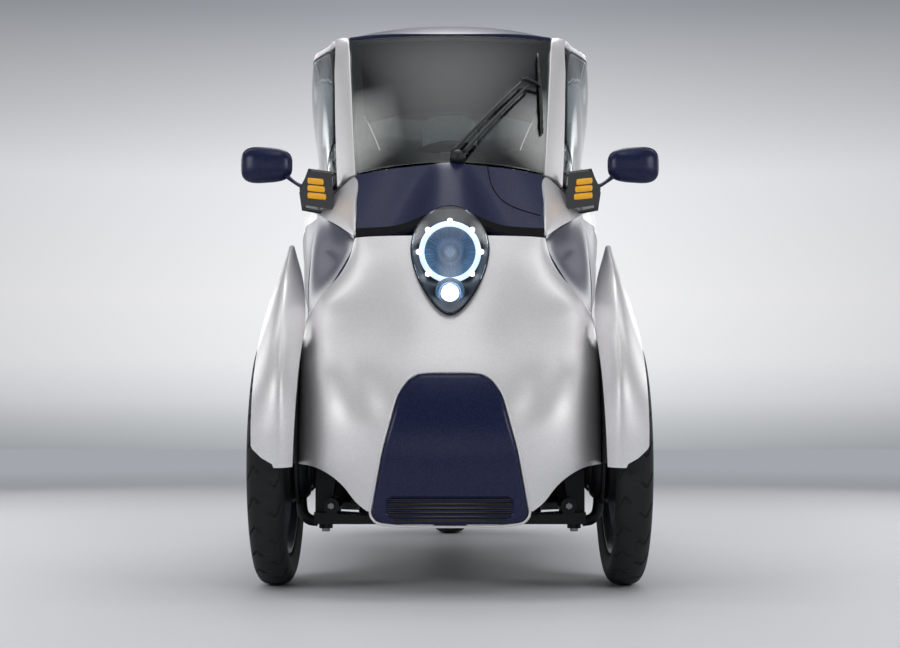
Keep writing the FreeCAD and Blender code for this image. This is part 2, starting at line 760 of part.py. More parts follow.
def floor():
    def point(a, b):
        s = 75.3 + (1978 - 75.3) * a
        half = sill(s)[0] - 12 if s < DOOR_REAR else sill(s)[0] - QUARTER_WALL - 3
        if s < DOOR_FRONT:
            share = min(1.0, max(0.0, (s - 200) / 90))
            half = 205 + (half - 205) * share * share * (3 - 2 * share)
        return at((2 * b - 1) * half, s, floor_height(s))
    head = cylinder(HEAD_RADIUS + SEAT_GAP, V(0, REAR_AXLE_Y, 400), V(0, REAR_AXLE_Y, 700))
    return skin(point, 41, 5, FLOOR_WALL, UP).cut(head)


def sill_panel():
    def point(a, b):
        s = DOOR_FRONT + (DOOR_REAR - DOOR_FRONT) * a
        x, z = sill(s)
        return at(x - 10 * (1 - b), s, 168 + (z - SHUT_GAP - 1 - 168) * b)
    return largest(skin(point, 13, 4, SILL_WALL, INBOARD).cut(floor()))


def steering_head():
    """Fixed bearing housing of the rear steering, with the cross frame that carries it."""
    y = REAR_AXLE_Y
    tube = cylinder(HEAD_RADIUS, V(0, y, HEAD_BOTTOM), V(0, y, HEAD_BOTTOM + HEAD_LENGTH))
    beam = Part.makeBox(460, 110, 20, V(-230, y - 55, HEAD_BOTTOM + 90))
    feet = [Part.makeBox(40, 110, 60, V(x, y - 55, HEAD_BOTTOM + 35)) for x in (-230, 190)]
    body = largest(fuse(tube, beam, *feet).cut(floor()))
    return body.cut(cylinder(STEM_RADIUS + RUNNING_FIT, V(0, y, HEAD_BOTTOM - 10), V(0, y, STEM_TOP + 3)))


def steering_yoke():
    """Fork over the rear wheel with its crown, mudguard and steering stem, and the axle of the wheel."""
    y, r = REAR_AXLE_Y, REAR_TYRE_RADIUS
    inner = REAR_TYRE_WIDTH / 2 + YOKE_CLEARANCE
    outer = inner + YOKE_PLATE
    crown_z = 2 * r + YOKE_CLEARANCE
    outline = [(y - 34, r - 30), (y + 34, r - 30), (y + 40, r + 25), (y + 62, crown_z + 14), (y - 62, crown_z + 14),
               (y - 40, r + 25)]
    legs = [prism_x(outline, x, x + YOKE_PLATE) for x in (-outer, inner)]
    crown = Part.makeBox(2 * outer, 124, 16, V(-outer, y - 62, crown_z))
    stem = cylinder(STEM_RADIUS, V(0, y, crown_z + 8), V(0, y, STEM_TOP))
    axle = cylinder(REAR_AXLE_RADIUS, V(-outer - 8, y, r), V(outer + 8, y, r))
    return fuse(crown, stem, axle, mudguard(), *legs)


def mudguard():
    """Arched guard over the rear tyre, between the legs of the fork."""
    half = REAR_TYRE_WIDTH / 2 + 8
    low, top = REAR_TYRE_RADIUS + YOKE_CLEARANCE, REAR_TYRE_RADIUS + YOKE_CLEARANCE + 4
    section = [(-half, low - 14), (-half + 4, low - 14), (-half + 10, low), (half - 10, low), (half - 4, low - 14),
               (half, low - 14), (half - 8, top), (-half + 8, top)]
    wire = Part.makePolygon([REAR_CENTRE + V(x, radius, 0) for x, radius in section + section[:1]])
    face = Part.Face(wire)
    face.rotate(REAR_CENTRE, V(1, 0, 0), 12)
    return face.revolve(REAR_CENTRE, V(1, 0, 0), 128)


# Wheels
def revolve_x(points, centre):
    """Ring about the X axis through the centre, from closed (x, radius) points."""
    wire = Part.makePolygon([V(centre.x + x, centre.y, centre.z + r) for x, r in points + points[:1]])
    return Part.Face(wire).revolve(centre, V(1, 0, 0), 360)


def tyre(centre, radius, width, rim_radius, rim_width):
    half = [(rim_width / 2 - 1, rim_radius + 0.2), (rim_width / 2 + 2, rim_radius + 14)]
    for k in range(7):
        angle = math.radians(90) * k / 6
        height = (radius - rim_radius) * 0.46
        half.append((width / 2 * math.cos(angle) ** 0.62 if k < 6 else 0.0, radius - height * (1 - math.sin(angle))))
    points = half + [(-x, r) for x, r in reversed(half[:-1])]
    return revolve_x(points, centre)


def rim(centre, radius, width, hub_radius, bore, face):
    """Cast wheel: barrel, hub and paired spokes. face is the x of the spokes' plane beside the centre."""
    w = width / 2
    barrel = [(-w, radius), (-w, radius - 9), (-w + 8, radius - 14), (-w + 14, radius - 26), (w - 14, radius - 26),
              (w - 8, radius - 14), (w, radius - 9), (w, radius), (w - 9, radius), (w - 13, radius - 17),
              (-w + 13, radius - 17), (-w + 9, radius)]
    ring = revolve_x(barrel, centre)
    out = 1 if face > 0 else -1
    hub = revolve_x([(face - out * 12, bore), (face - out * 12, hub_radius), (face + out * 10, hub_radius * 0.8),
                     (face + out * 10, bore)], centre)
    arms = []
    for k in range(SPOKES):
        for offset in (-0.16, 0.16):
            angle = 2 * math.pi * k / SPOKES
            start, end = angle + offset * 2.2, angle + offset
            root = V(0, math.cos(start), math.sin(start)) * (hub_radius - 6)
            tip = V(0, math.cos(end), math.sin(end)) * (radius - 22)
            across = V(0, -math.sin(angle), math.cos(angle))
            points = [root - across * 9, tip - across * 7, tip + across * 7, root + across * 9]
            face_points = [centre + V(face - out * 8, 0, 0) + p for p in points]
            arms.append(Part.Face(Part.makePolygon(face_points + face_points[:1])).extrude(V(out * 14, 0, 0)))
    return fuse(ring, hub, *arms)


def front_centre(side):
    return V(side * TRACK / 2, FRONT_AXLE_Y, TYRE_RADIUS)


# Front suspension, open to view beside the nose
def front_knuckle():
    """Motor housing inside the wheel, with the stub axle that carries the wheel and a cooling rib round it."""
    c = front_centre(1)
    r = KNUCKLE_RADIUS
    profile = [(-85, 0), (-85, r - 34), (-76, r - 24), (-66, r - 24), (-66, r - 14), (-60, r - 14), (-60, r - 24),
               (-52, r - 16), (-34, r), (-16, r), (-10, r - 36), (-10, SPINDLE_RADIUS),
               (SPOKE_FACE + 16, SPINDLE_RADIUS), (SPOKE_FACE + 16, 0)]
    return revolve_x(profile, c)


def suspension_arms():
    """Lower wishbone, upright and upper link of one front wheel, with the bush and the ball joint of the wishbone."""
    y = FRONT_AXLE_Y
    outer = TRACK / 2 - 85
    low = ARM_BOTTOM
    side = [(FRAME_HALF, low), (outer, low), (outer, low + 26), (outer - 60, low + 22), (FRAME_HALF, low + 12)]
    lower = prism_y(side, y - ARM_HALF, y + ARM_HALF)
    lower = lower.cut(Part.makeBox(110, ARM_HALF, 80, V(120, y - ARM_HALF / 2, 100)))
    upright = prism_y([(outer - 34, low + 16), (outer, low + 16), (outer, 350), (outer - 24, 350), (outer - 40, 300),
                       (outer - 48, 250), (outer - 40, 200)], y - 26, y + 26)
    upper = cylinder(13, V(FRAME_HALF - 6, y, 400), V(outer - 10, y, 330))
    upper = upper.cut(Part.makeBox(FRAME_HALF, 200, 600, V(0, y - 100, 0)))
    bush_x, bush_z = outer - 38, low + 40
    boss = cylinder(17, V(bush_x, y - ARM_HALF - 8, bush_z), V(bush_x, y + ARM_HALF + 8, bush_z))
    boss = boss.cut(cylinder(7, V(bush_x, y - ARM_HALF - 8, bush_z), V(bush_x, y - ARM_HALF + 4, bush_z)))
    web = Part.makeBox(26, 2 * ARM_HALF, bush_z - low - 16, V(bush_x - 13, y - ARM_HALF, low + 16))
    joint = cylinder(15, V(outer - 24, y - 30, low - 10), V(outer - 24, y - 30, low + 20))
    return fuse(lower, upright, upper, web, boss, joint)


def subframe():
    """Front frame that carries the arms of both wheels, with the lean gear's housing on top."""
    y = FRONT_AXLE_Y
    box = Part.makeBox(2 * FRAME_HALF, 150, 430 - FRAME_BOTTOM, V(-FRAME_HALF, y - 75, FRAME_BOTTOM))
    tower = Part.makeBox(96, 110, 130, V(-48, y - 55, 430))
    return fuse(box, tower)


# Front fenders: a ridge line over the wheel, a smooth inner slope and a narrow outer face
fender_ridge = spline([(0, (-297, 262)), (0.14, (-303, 350)), (0.28, (-286, 450)), (0.44, (-216, 560)),
                       (0.6, (-100, 650)), (0.8, (90, 722)), (1, (300, 786))])
fender_inner = spline([(0, 322), (0.3, 316), (0.6, 316), (0.8, 338), (1, 378)])
fender_outer = spline([(0, 406), (0.14, 408), (0.28, 408), (0.44, 406), (0.6, 402), (0.8, 397), (1, 391)])
fender_top = spline([(0, 350), (0.4, 352), (1, 384)])
fender_drop = spline([(0, 19.4), (0.14, 27.2), (0.3, 46), (0.6, 62), (0.85, 34), (1, 4)])
FENDER_CORNER = [(430, 330), (412, 318), (404, 300), (384, 282), (362, 270), (348, 240), (480, 240), (480, 330)]


def fender_frame(a):
    """Station, height and outward normal of the ridge line, which follows the tyre's size."""
    k = TYRE_RADIUS / PLAN["tyre"]
    s, z = fender_ridge(a)
    s0, z0 = fender_ridge(max(0.0, a - 0.02))
    s1, z1 = fender_ridge(min(1.0, a + 0.02))
    length = math.hypot(s1 - s0, z1 - z0)
    return s * k, z * k, -(z1 - z0) / length, (s1 - s0) / length


def wheel_x(x):
    """Breadth near the front wheel, which moves with the track."""
    return x + (TRACK - PLAN["width"]) / 2 + WHEEL_PLAN_INSET


WHEEL_PLAN_INSET = 44.0


def fender():
    def point(a, b):
        s, z, ns, nz = fender_frame(a)
        x0, x1, top = fender_inner(a), fender_outer(a), fender_top(a)
        x = x0 + (x1 - x0) * b
        share = (top - x) / (top - x0) if x < top else (x - top) / (x1 - top)
        drop = fender_drop(a) * share ** 1.7
        return V(wheel_x(x), FRONT_AXLE_Y + s - ns * drop, z - nz * drop)

    def inward(a, b):
        s, z, ns, nz = fender_frame(a)
        return V(0, -ns, -nz)
    corner = prism_y([(wheel_x(x), z) for x, z in FENDER_CORNER], FRONT_AXLE_Y - 500, FRONT_AXLE_Y - 100)
    return largest(skin(point, 25, 13, FENDER_WALL, inward).cut(corner))


def fender_stay():
    """Stays and liner that carry the fender from the knuckle, beside the inner face of the tyre."""
    x = wide(327) + STAY_GAP
    y = FRONT_AXLE_Y
    points = [(-60, 255), (-60, 300), (-310, 402), (-310, 366)]
    lower = prism_x([(y + s, z) for s, z in points], x, x + STAY_WALL)
    points = [(-30, 330), (30, 330), (-8, 700), (-30, 700)]
    upper = prism_x([(y + s, z) for s, z in points], x, x + STAY_WALL)
    collar = cylinder(KNUCKLE_RADIUS + 8, V(x, y, TYRE_RADIUS), V(x + STAY_WALL, y, TYRE_RADIUS))
    return largest(fuse(lower, upper, collar, liner(x)).cut(front_knuckle()).cut(fender()))


def liner(x):
    """Inner wall of the wheel arch: it follows the fender's inner edge and ends at the corner of the nose."""
    edge = []
    for k in range(13):
        s, z, ns, nz = fender_frame(0.01 + 0.56 * k / 12)
        depth = fender_drop(0.01 + 0.56 * k / 12) + FENDER_WALL + SEAT_GAP
        edge.append((FRONT_AXLE_Y + s - ns * depth, z - nz * depth))
    rear = [(FRONT_AXLE_Y - 112, edge[-1][1] - 30), (FRONT_AXLE_Y - 112, edge[0][1])]
    return prism_x(edge + rear, x - LINER_WALL, x + 1)


# Inside
def battery():
    low = floor_height(700)
    box = Part.makeBox(380, ys(1075) - ys(560), BATTERY_TOP - low, V(-190, ys(560), low))
    return largest(box.cut(floor()))


def dashboard():
    """Moulded dashboard under the windscreen, with the steering column's cover and two hanging pedals."""
    outline = [(110, 790), (110, 930), (190, 935), (300, 940), (372, 905), (385, 860), (340, 800), (250, 770)]
    half = wide(205)
    body = prism_x([(ys(s), high(z)) for s, z in outline], -half, half)
    body = body.makeFillet(14, [e for e in body.Edges if abs(e.BoundBox.XLength) > 300 and e.BoundBox.YMin > ys(240)])
    return fuse(largest(body.cut(cowl_skin())), steering_column(), pedal(-70), pedal(70))


def pedal(x):
    """Pedal arm that hangs from the dashboard, with its pad."""
    arm = prism_x([(ys(250), high(790)), (ys(266), high(790)), (ys(330), 360), (ys(318), 352)], x - 5, x + 5)
    pad = tilted(rounded_box(V(x - 32, ys(318), 330), V(x + 32, ys(330), 400), 3), V(0, ys(324), 360), -20)
    return fuse(arm, pad)


def wheel_axis():
    angle = math.radians(WHEEL_TILT)
    return V(0, ys(WHEEL_STATION), high(WHEEL_HEIGHT)), V(0, math.cos(angle), math.sin(angle))


def steering_wheel():
    centre, axis = wheel_axis()
    ring = Part.makeTorus(WHEEL_RIM, 14, centre, axis)
    hub = cylinder(42, centre - axis * 30, centre + axis * 6)
    root = centre - axis * 10
    low = V(0, axis.z, -axis.y)
    spokes = [cylinder(9, root, root + way * WHEEL_RIM) for way in (V(1, 0, 0), V(-1, 0, 0), low)]
    return fuse(ring, hub, *spokes).cut(cylinder(COLUMN_RADIUS + RUNNING_FIT, centre - axis * 40, centre - axis * 6))


def steering_column():
    centre, axis = wheel_axis()
    shaft = cylinder(COLUMN_RADIUS, centre - axis * 220, centre - axis * 8)
    cover = cylinder(30, centre - axis * 210, centre - axis * 38)
    return fuse(shaft, cover)


CUSHION_REST = floor_height(1522) + SEAT_BASE_RISE
BACK_REST = CUSHION_REST + 33


def front_seat():
    low = BATTERY_TOP + SEAT_GAP
    cushion = rounded_box(V(-215, ys(540), low), V(215, ys(965), low + 100), 30)
    pivot = V(0, ys(980), low + 60)
    back = tilted(rounded_box(V(-205, ys(975), low - 60), V(205, ys(1050), high(1090)), 30), pivot, -8)
    head = tilted(rounded_box(V(-88, ys(985), high(1120)), V(88, ys(1045), high(1290)), 26), pivot, -8)
    posts = [tilted(cylinder(6, V(x, ys(1012), high(1070)), V(x, ys(1012), high(1140))), pivot, -8) for x in (-45, 45)]
    under = Part.makeBox(600, 800, 400, V(-300, ys(800), low - 400))
    return Part.makeCompound([cushion, fuse(back, head, *posts).cut(under)])


def rear_seat():
    low = CUSHION_REST + SEAT_GAP
    cushion = rounded_box(V(-180, ys(1210), low), V(180, ys(1522), low + 85), 28)
    back = tilted(rounded_box(V(-180, ys(1535), low - 45), V(180, ys(1600), high(1080)), 28), V(0, ys(1550), low + 45), -12)
    under = Part.makeBox(600, 800, 400, V(-300, ys(1300), BACK_REST + SEAT_GAP - 400))
    return Part.makeCompound([cushion, back.cut(under)])


def rear_seat_base():
    """Two plates that stand on the rising floor and carry the rear seat."""
    top = [(ys(1650), BACK_REST), (ys(1526), BACK_REST), (ys(1526), CUSHION_REST), (ys(1220), CUSHION_REST)]
    bottom = [(ys(1220 + 430 * k / 8), floor_height(1220 + 430 * k / 8) - 10) for k in range(9)]
    plates = [prism_x(bottom + top, x, x + 20) for x in (-160, 140)]
    shelf = Part.makeBox(360, ys(1526) - ys(1220), 10, V(-180, ys(1220), CUSHION_REST - 10))
    ledge = Part.makeBox(360, ys(1650) - ys(1526), 10, V(-180, ys(1526), BACK_REST - 10))
    riser = Part.makeBox(360, 8, BACK_REST - CUSHION_REST + 10, V(-180, ys(1526), CUSHION_REST - 10))
    return largest(fuse(shelf, ledge, riser, *plates).cut(floor()))


NODES = {}


def put(name, shape):
    NODES[name] = shape


def put_pair(name, left):
    put(name + "_left", left)
    put(name + "_right", mirrored(left))


flank = flank_panel()
lens, housing = headlamp()
put("nose_shell", nose_shell(flank))
put("nose_panel", shield_panel())
put("cowl_panel", cowl_skin().cut(lamp_prism(SEAM, ys(200))))
put("headlamp_lens", lens)
put("headlamp_housing", housing)
put("windscreen", windscreen())
put("wiper", wiper())
put("roof_panel", roof_panel())
put("rear_window", rear_window())
put("roof_rails", pair(rail()))
put("pillar_feet", pair(pillar_foot()))
put("flank_panels", pair(flank))
put("indicators", pair(indicator()))
put("mirrors", pair(mirror()))
put("tail_panel", tail_panel())
put("tail_lamps", tail_lamps())
put("chassis_floor", floor())
put("sills", pair(sill_panel()))
put("front_posts", pair(hinges()))
put_pair("door", door())
put_pair("door_glass", window_panel(DOOR_FRONT + 4, DOOR_REAR, GLASS_WALL, 1.0, GLASS_DROP))
put_pair("quarter_panel", largest(side_panel(DOOR_REAR + SHUT_GAP, TAIL_STATION, QUARTER_WALL).cut(rail())))
rear_glass = largest(window_panel(DOOR_REAR + SHUT_GAP, TAIL_STATION - 30, SIDE_GLASS_WALL, SEAM, 0.5).cut(rail()))
put("side_glass", Part.makeCompound([pair(quarter_glass()), pair(rear_glass)]))
put_pair("fender", fender())
put("fender_stays", pair(fender_stay()))
put("knuckles", pair(front_knuckle()))
put("front_arms", pair(suspension_arms()))
put("front_subframe", subframe())
for name, side in (("left", 1), ("right", -1)):
    put("tyre_front_" + name, tyre(front_centre(side), TYRE_RADIUS, TYRE_WIDTH, RIM_RADIUS, RIM_WIDTH))
    put("rim_front_" + name, rim(front_centre(side), RIM_RADIUS, RIM_WIDTH, FRONT_HUB_RADIUS,
                                 SPINDLE_RADIUS + RUNNING_FIT, side * SPOKE_FACE))
put("tyre_rear", tyre(REAR_CENTRE, REAR_TYRE_RADIUS, REAR_TYRE_WIDTH, REAR_RIM_RADIUS, REAR_RIM_WIDTH))
put("rim_rear", rim(REAR_CENTRE, REAR_RIM_RADIUS, REAR_RIM_WIDTH, REAR_HUB_RADIUS,
                    REAR_AXLE_RADIUS + RUNNING_FIT, 20))
put("rear_yoke", steering_yoke())
put("rear_frame", Part.makeCompound([steering_head(), rear_seat_base()]))
put("front_seat", front_seat())
put("rear_seat", rear_seat())
put("battery", battery())
put("dashboard", dashboard())
put("steering_wheel", steering_wheel())

os.makedirs("parts", exist_ok=True)
for name, shape in NODES.items():
    shape.exportStep("parts/" + name + ".step")
    box = shape.BoundBox
    print(name, shape.isValid(), len(shape.Solids), round(shape.Volume / 1000), "cm3",
          [round(v) for v in (box.XMin, box.XMax, box.YMin, box.YMax, box.ZMin, box.ZMax)])
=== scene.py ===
import json
import math

import bpy
import numpy as np
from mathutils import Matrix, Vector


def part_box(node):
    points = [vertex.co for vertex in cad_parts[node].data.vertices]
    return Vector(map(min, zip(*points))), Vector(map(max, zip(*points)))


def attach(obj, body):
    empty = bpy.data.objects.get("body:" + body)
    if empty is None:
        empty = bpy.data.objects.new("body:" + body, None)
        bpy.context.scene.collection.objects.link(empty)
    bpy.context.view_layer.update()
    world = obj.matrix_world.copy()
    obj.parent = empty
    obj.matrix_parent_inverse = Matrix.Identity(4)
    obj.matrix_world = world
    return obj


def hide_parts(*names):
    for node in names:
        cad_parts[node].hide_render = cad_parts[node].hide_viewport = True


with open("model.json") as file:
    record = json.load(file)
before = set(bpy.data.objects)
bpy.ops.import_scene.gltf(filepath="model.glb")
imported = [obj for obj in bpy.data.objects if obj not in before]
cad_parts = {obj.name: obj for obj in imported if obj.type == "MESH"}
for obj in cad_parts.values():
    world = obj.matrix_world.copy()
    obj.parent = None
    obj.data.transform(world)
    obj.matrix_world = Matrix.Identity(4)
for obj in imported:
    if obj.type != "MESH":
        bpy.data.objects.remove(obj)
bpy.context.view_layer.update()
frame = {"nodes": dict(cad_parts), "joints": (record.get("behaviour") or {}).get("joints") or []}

# Camera and studio
# The camera stands low in front of the car and looks slightly up at it. The floor is plain and pale near the
# car and turns to a painted darker glow far off; the light comes from large soft panels above and beside the
# car.
MM = 0.001
IMAGE_WIDTH = 900
FOCAL_LENGTH_PIXELS = 1572
SENSOR_WIDTH = 36.0
CAMERA_PLACE = (0.0, -4.370, 0.345)
CAMERA_PITCH = 3.75
FLOOR_COLOUR = "#DFE1E4"
FAR_FLOOR_PAINTED_SHADE = "#A3A7AD"
FLOOR_REACH = 20.0
BACKDROP = [(-3.0, "#A0A4AA"), (-1.0, "#ABAFB3"), (-0.5, "#B7BBBE"), (0.2, "#C9CCCF"), (1.0, "#DFE1E5"),
            (2.4, "#F1F3F5"), (4.6, "#F7F7F9"), (9.0, "#EEF0F3"), (11.1, "#D5D6DA"), (15.0, "#9CA0A6"),
            (19.0, "#6C7076"), (26.0, "#45484D"), (42.0, "#4E5156"), (60.0, "#7E8186")]


def linear(colour):
    """Linear RGBA of an sRGB colour written as #RRGGBB."""
    channels = [int(colour[k:k + 2], 16) / 255 for k in (1, 3, 5)]
    return [c / 12.92 if c <= 0.04045 else ((c + 0.055) / 1.055) ** 2.4 for c in channels] + [1.0]


def add(tree, kind, settings=None, links=None):
    """Adds one node: settings are its attributes or its sockets' values, links go from sockets to its
    inputs."""
    node = tree.nodes.new(kind)
    for key, value in (settings or {}).items():
        if isinstance(key, str) and hasattr(node, key):
            setattr(node, key, value)
        else:
            node.inputs[key].default_value = value
    for key, source in (links or {}).items():
        tree.links.new(source, node.inputs[key])
    return node


NAMED_SOCKETS = {"base": "Base Color", "rough": "Roughness", "metal": "Metallic", "coat": "Coat Weight",
                 "coat_rough": "Coat Roughness", "glow": "Emission Color",
                 "glow_strength": "Emission Strength", "clear": "Transmission Weight", "ior": "IOR",
                 "sheen": "Sheen Weight", "sheen_rough": "Sheen Roughness", "specular": "Specular IOR Level"}


def new_material(name, **sockets):
    """A material with one Principled shader whose sockets are set, ready for more nodes."""
    made = bpy.data.materials.new(name)
    made.use_nodes = True
    tree = made.node_tree
    shader = tree.nodes["Principled BSDF"]
    for key, value in sockets.items():
        shader.inputs[NAMED_SOCKETS[key]].default_value = value
    return made, tree, shader


camera = bpy.data.objects.new("camera", bpy.data.cameras.new("camera"))
camera.data.sensor_width = SENSOR_WIDTH
camera.data.lens = SENSOR_WIDTH * FOCAL_LENGTH_PIXELS / IMAGE_WIDTH
camera.location = CAMERA_PLACE
camera.rotation_euler = (math.radians(90 + CAMERA_PITCH), 0, 0)
bpy.context.scene.collection.objects.link(camera)
bpy.context.scene.camera = camera
bpy.context.scene.view_settings.view_transform = "Standard"


def seen_directly(tree):
    """1 where a camera, glossy or transmission ray arrives, 0 for the rays that carry light."""
    path = add(tree, "ShaderNodeLightPath")
    seen = add(tree, "ShaderNodeMath", {"operation": "MAXIMUM"},
               {0: path.outputs["Is Camera Ray"], 1: path.outputs["Is Glossy Ray"]})
    return add(tree, "ShaderNodeMath", {"operation": "MAXIMUM"},
               {0: seen.outputs[0], 1: path.outputs["Is Transmission Ray"]}).outputs[0]


floor_mesh = bpy.data.meshes.new("studio_floor")
corners = [(x * FLOOR_REACH, y * FLOOR_REACH, 0) for x, y in ((-1, -1), (1, -1), (1, 1), (-1, 1))]
floor_mesh.from_pydata(corners, [], [(0, 1, 2, 3)])
studio_floor = bpy.data.objects.new("studio_floor", floor_mesh)
bpy.context.scene.collection.objects.link(studio_floor)
floor_finish, tree, shader = new_material("studio_floor", rough=0.55, base=linear(FLOOR_COLOUR),
                                          specular=0.25)
# Far from the car the floor shows camera, glossy and transmission rays a fixed grey glow in place of its lit
# shader: a painted shade for the floor where the lamps fall off, which blends it into the backdrop.
where = add(tree, "ShaderNodeTexCoord").outputs["Object"]
reach = add(tree, "ShaderNodeVectorMath", {"operation": "LENGTH"}, {0: where})
far = add(tree, "ShaderNodeMapRange", {"From Min": 2.4, "From Max": 9.0, "interpolation_type": "SMOOTHSTEP"},
          {"Value": reach.outputs["Value"]})
fade = add(tree, "ShaderNodeMath", {"operation": "MULTIPLY"}, {0: far.outputs[0], 1: seen_directly(tree)})
far_floor_painted_glow = add(tree, "ShaderNodeEmission", {"Color": linear(FAR_FLOOR_PAINTED_SHADE), "Strength": 1.0})
mixed = add(tree, "ShaderNodeMixShader", links={0: fade.outputs[0], 1: shader.outputs[0], 2: far_floor_painted_glow.outputs[0]})
tree.links.new(mixed.outputs[0], tree.nodes["Material Output"].inputs["Surface"])
floor_mesh.materials.append(floor_finish)

world = bpy.data.worlds.new("studio")
bpy.context.scene.world = world
world.use_nodes = True
tree = world.node_tree
tree.nodes.clear()
where = add(tree, "ShaderNodeTexCoord")
split = add(tree, "ShaderNodeSeparateXYZ", links={0: where.outputs["Generated"]})
low, high = (math.sin(math.radians(BACKDROP[k][0])) for k in (0, -1))
height = add(tree, "ShaderNodeMapRange", {"From Min": low, "From Max": high}, {"Value": split.outputs["Z"]})
sky = add(tree, "ShaderNodeValToRGB", links={0: height.outputs[0]})
stops = sky.color_ramp.elements
stops[0].color, stops[1].color = linear(BACKDROP[0][1]), linear(BACKDROP[-1][1])
for elevation, colour in BACKDROP[1:-1]:
    stops.new((math.sin(math.radians(elevation)) - low) / (high - low)).color = linear(colour)
sideways = add(tree, "ShaderNodeMath", {"operation": "ABSOLUTE"}, {0: split.outputs["X"]})
falloff = add(tree, "ShaderNodeMapRange", {"From Min": 0.05, "From Max": 0.30, "To Min": 1.0, "To Max": 0.74},
              {"Value": sideways.outputs[0]})
shown = add(tree, "ShaderNodeBackground", links={"Color": sky.outputs[0], "Strength": falloff.outputs[0]})
above = add(tree, "ShaderNodeMapRange", {"From Min": 0.05, "From Max": 0.5, "To Max": 0.32,
                                         "interpolation_type": "SMOOTHSTEP"},
            {"Value": split.outputs["Z"]})
lit = add(tree, "ShaderNodeBackground", {"Color": linear("#F2F4F7")}, {"Strength": above.outputs[0]})
mixed = add(tree, "ShaderNodeMixShader", links={0: seen_directly(tree), 1: lit.outputs[0],
                                                2: shown.outputs[0]})
add(tree, "ShaderNodeOutputWorld", links={"Surface": mixed.outputs[0]})


def softbox(name, place, aim, size, power):
    """Rectangular soft lamp at a place, aimed at a point. It is brightest in its middle and fades to its
    edges, as 16 u(1-u) v(1-v), and the factor 2.25 keeps its power."""
    lamp = bpy.data.lights.new(name, "AREA")
    lamp.use_nodes = True
    tree = lamp.node_tree
    parametric = add(tree, "ShaderNodeNewGeometry").outputs["Parametric"]
    place_on = add(tree, "ShaderNodeSeparateXYZ", links={0: parametric})
    fades = []
    for axis in (0, 1):
        rest = add(tree, "ShaderNodeMath", {"operation": "SUBTRACT", 0: 1.0}, {1: place_on.outputs[axis]})
        fades.append(add(tree, "ShaderNodeMath", {"operation": "MULTIPLY"},
                         {0: place_on.outputs[axis], 1: rest.outputs[0]}))
    both = add(tree, "ShaderNodeMath", {"operation": "MULTIPLY"},
               {0: fades[0].outputs[0], 1: fades[1].outputs[0]})
    level = add(tree, "ShaderNodeMath", {"operation": "MULTIPLY", 1: 16 * 2.25}, {0: both.outputs[0]})
    tree.links.new(level.outputs[0], tree.nodes["Emission"].inputs["Strength"])
    lamp.shape = "RECTANGLE"
    lamp.size, lamp.size_y = size
    lamp.energy = power
    made = bpy.data.objects.new(name, lamp)
    made.location = place
    direction = np.array(aim, float) - np.array(place, float)
    flat = math.hypot(direction[0], direction[1])
    made.rotation_euler = (math.atan2(flat, -direction[2]), 0,
                           math.atan2(direction[0], -direction[1]) + math.pi)
    bpy.context.scene.collection.objects.link(made)


softbox("overhead_front", (0, -2.4, 3.4), (0, -1.6, 0.3), (1.7, 2.5), 12)
softbox("overhead_cabin", (0, -0.5, 3.6), (0, -0.5, 0.9), (2.3, 1.7), 6)
softbox("overhead_rear", (0, 1.6, 3.6), (0, 1.0, 0.3), (1.9, 2.4), 40)
for side, name in ((1, "left"), (-1, "right")):
    softbox("front_" + name, (side * 3.1, -3.7, 2.0), (0, -1.0, 0.5), (2.2, 1.6), 27)
    softbox("side_" + name, (side * 3.6, 1.2, 1.8), (0, 0.6, 0.6), (2.8, 1.8), 19)
    softbox("shoulder_" + name, (side * 2.0, -0.6, 3.2), (side * 0.3, -0.8, 0.5), (0.9, 2.6), 12)
    softbox("back_" + name, (side * 2.6, 3.9, 1.6), (0, 0.9, 0.7), (1.8, 1.6), 12)

# Nose shell
# Moulded front body panel in white pearl paint, one curved shell from the lamp down to the chin and round
# to the doors. The shield and the lamp sit in its openings, the wheel tunnels are cut in its lower corners.
for joint in frame["joints"]:
    if joint["name"] == "wheel_front_left_spin":
        FRONT_AXLE = joint["pos_m"][1] / MM
        TRACK = 2 * joint["pos_m"][0] / MM
DOOR_FRONT = 345.0
FRONT_GAP = 9.0
NOSE_WALL = 10.0
NOSE_BOTTOM = 148.0
NOSE_TOP = 765.0
NOSE_CORNER = -5.0
CORNER_SHARE = 0.6
CORNER_POWER = 0.86
TYRE_RADIUS = 275.0
ARCH_RADIUS = 128.0
SEAM = 1.2
PEARL = "#EBEAEC"
PEARL_FLAKE = "#F6F3F4"
FLAKE_SIZE = 1.6
EDGE_ROUND = 1.6


def spline(knots):
    """Smooth curve through (parameter, value) knots: cubic pieces, and the slope at a knot is the mean of the
    chords beside it, each weighted by the length of the other."""
    ts = np.array([k[0] for k in knots], float)
    vs = np.array([np.atleast_1d(k[1]) for k in knots], float)
    spans = np.diff(ts)
    chords = np.diff(vs, axis=0) / spans[:, None]
    slopes = np.concatenate([chords[:1], chords])
    weighted = chords[:-1] * spans[1:, None] + chords[1:] * spans[:-1, None]
    slopes[1:-1] = weighted / (spans[:-1] + spans[1:])[:, None]

    def value(t):
        t = np.clip(t, ts[0], ts[-1])
        i = np.clip(np.searchsorted(ts, t, side="right") - 1, 0, len(ts) - 2)
        span = spans[i][..., None]
        f = ((t - ts[i]) / spans[i])[..., None]
        out = ((2 * f**3 - 3 * f**2 + 1) * vs[i] + (f**3 - 2 * f**2 + f) * span * slopes[i]
               + (3 * f**2 - 2 * f**3) * vs[i + 1] + (f**3 - f**2) * span * slopes[i + 1])
        return out[..., 0] if out.shape[-1] == 1 else tuple(np.moveaxis(out, -1, 0))
    return value


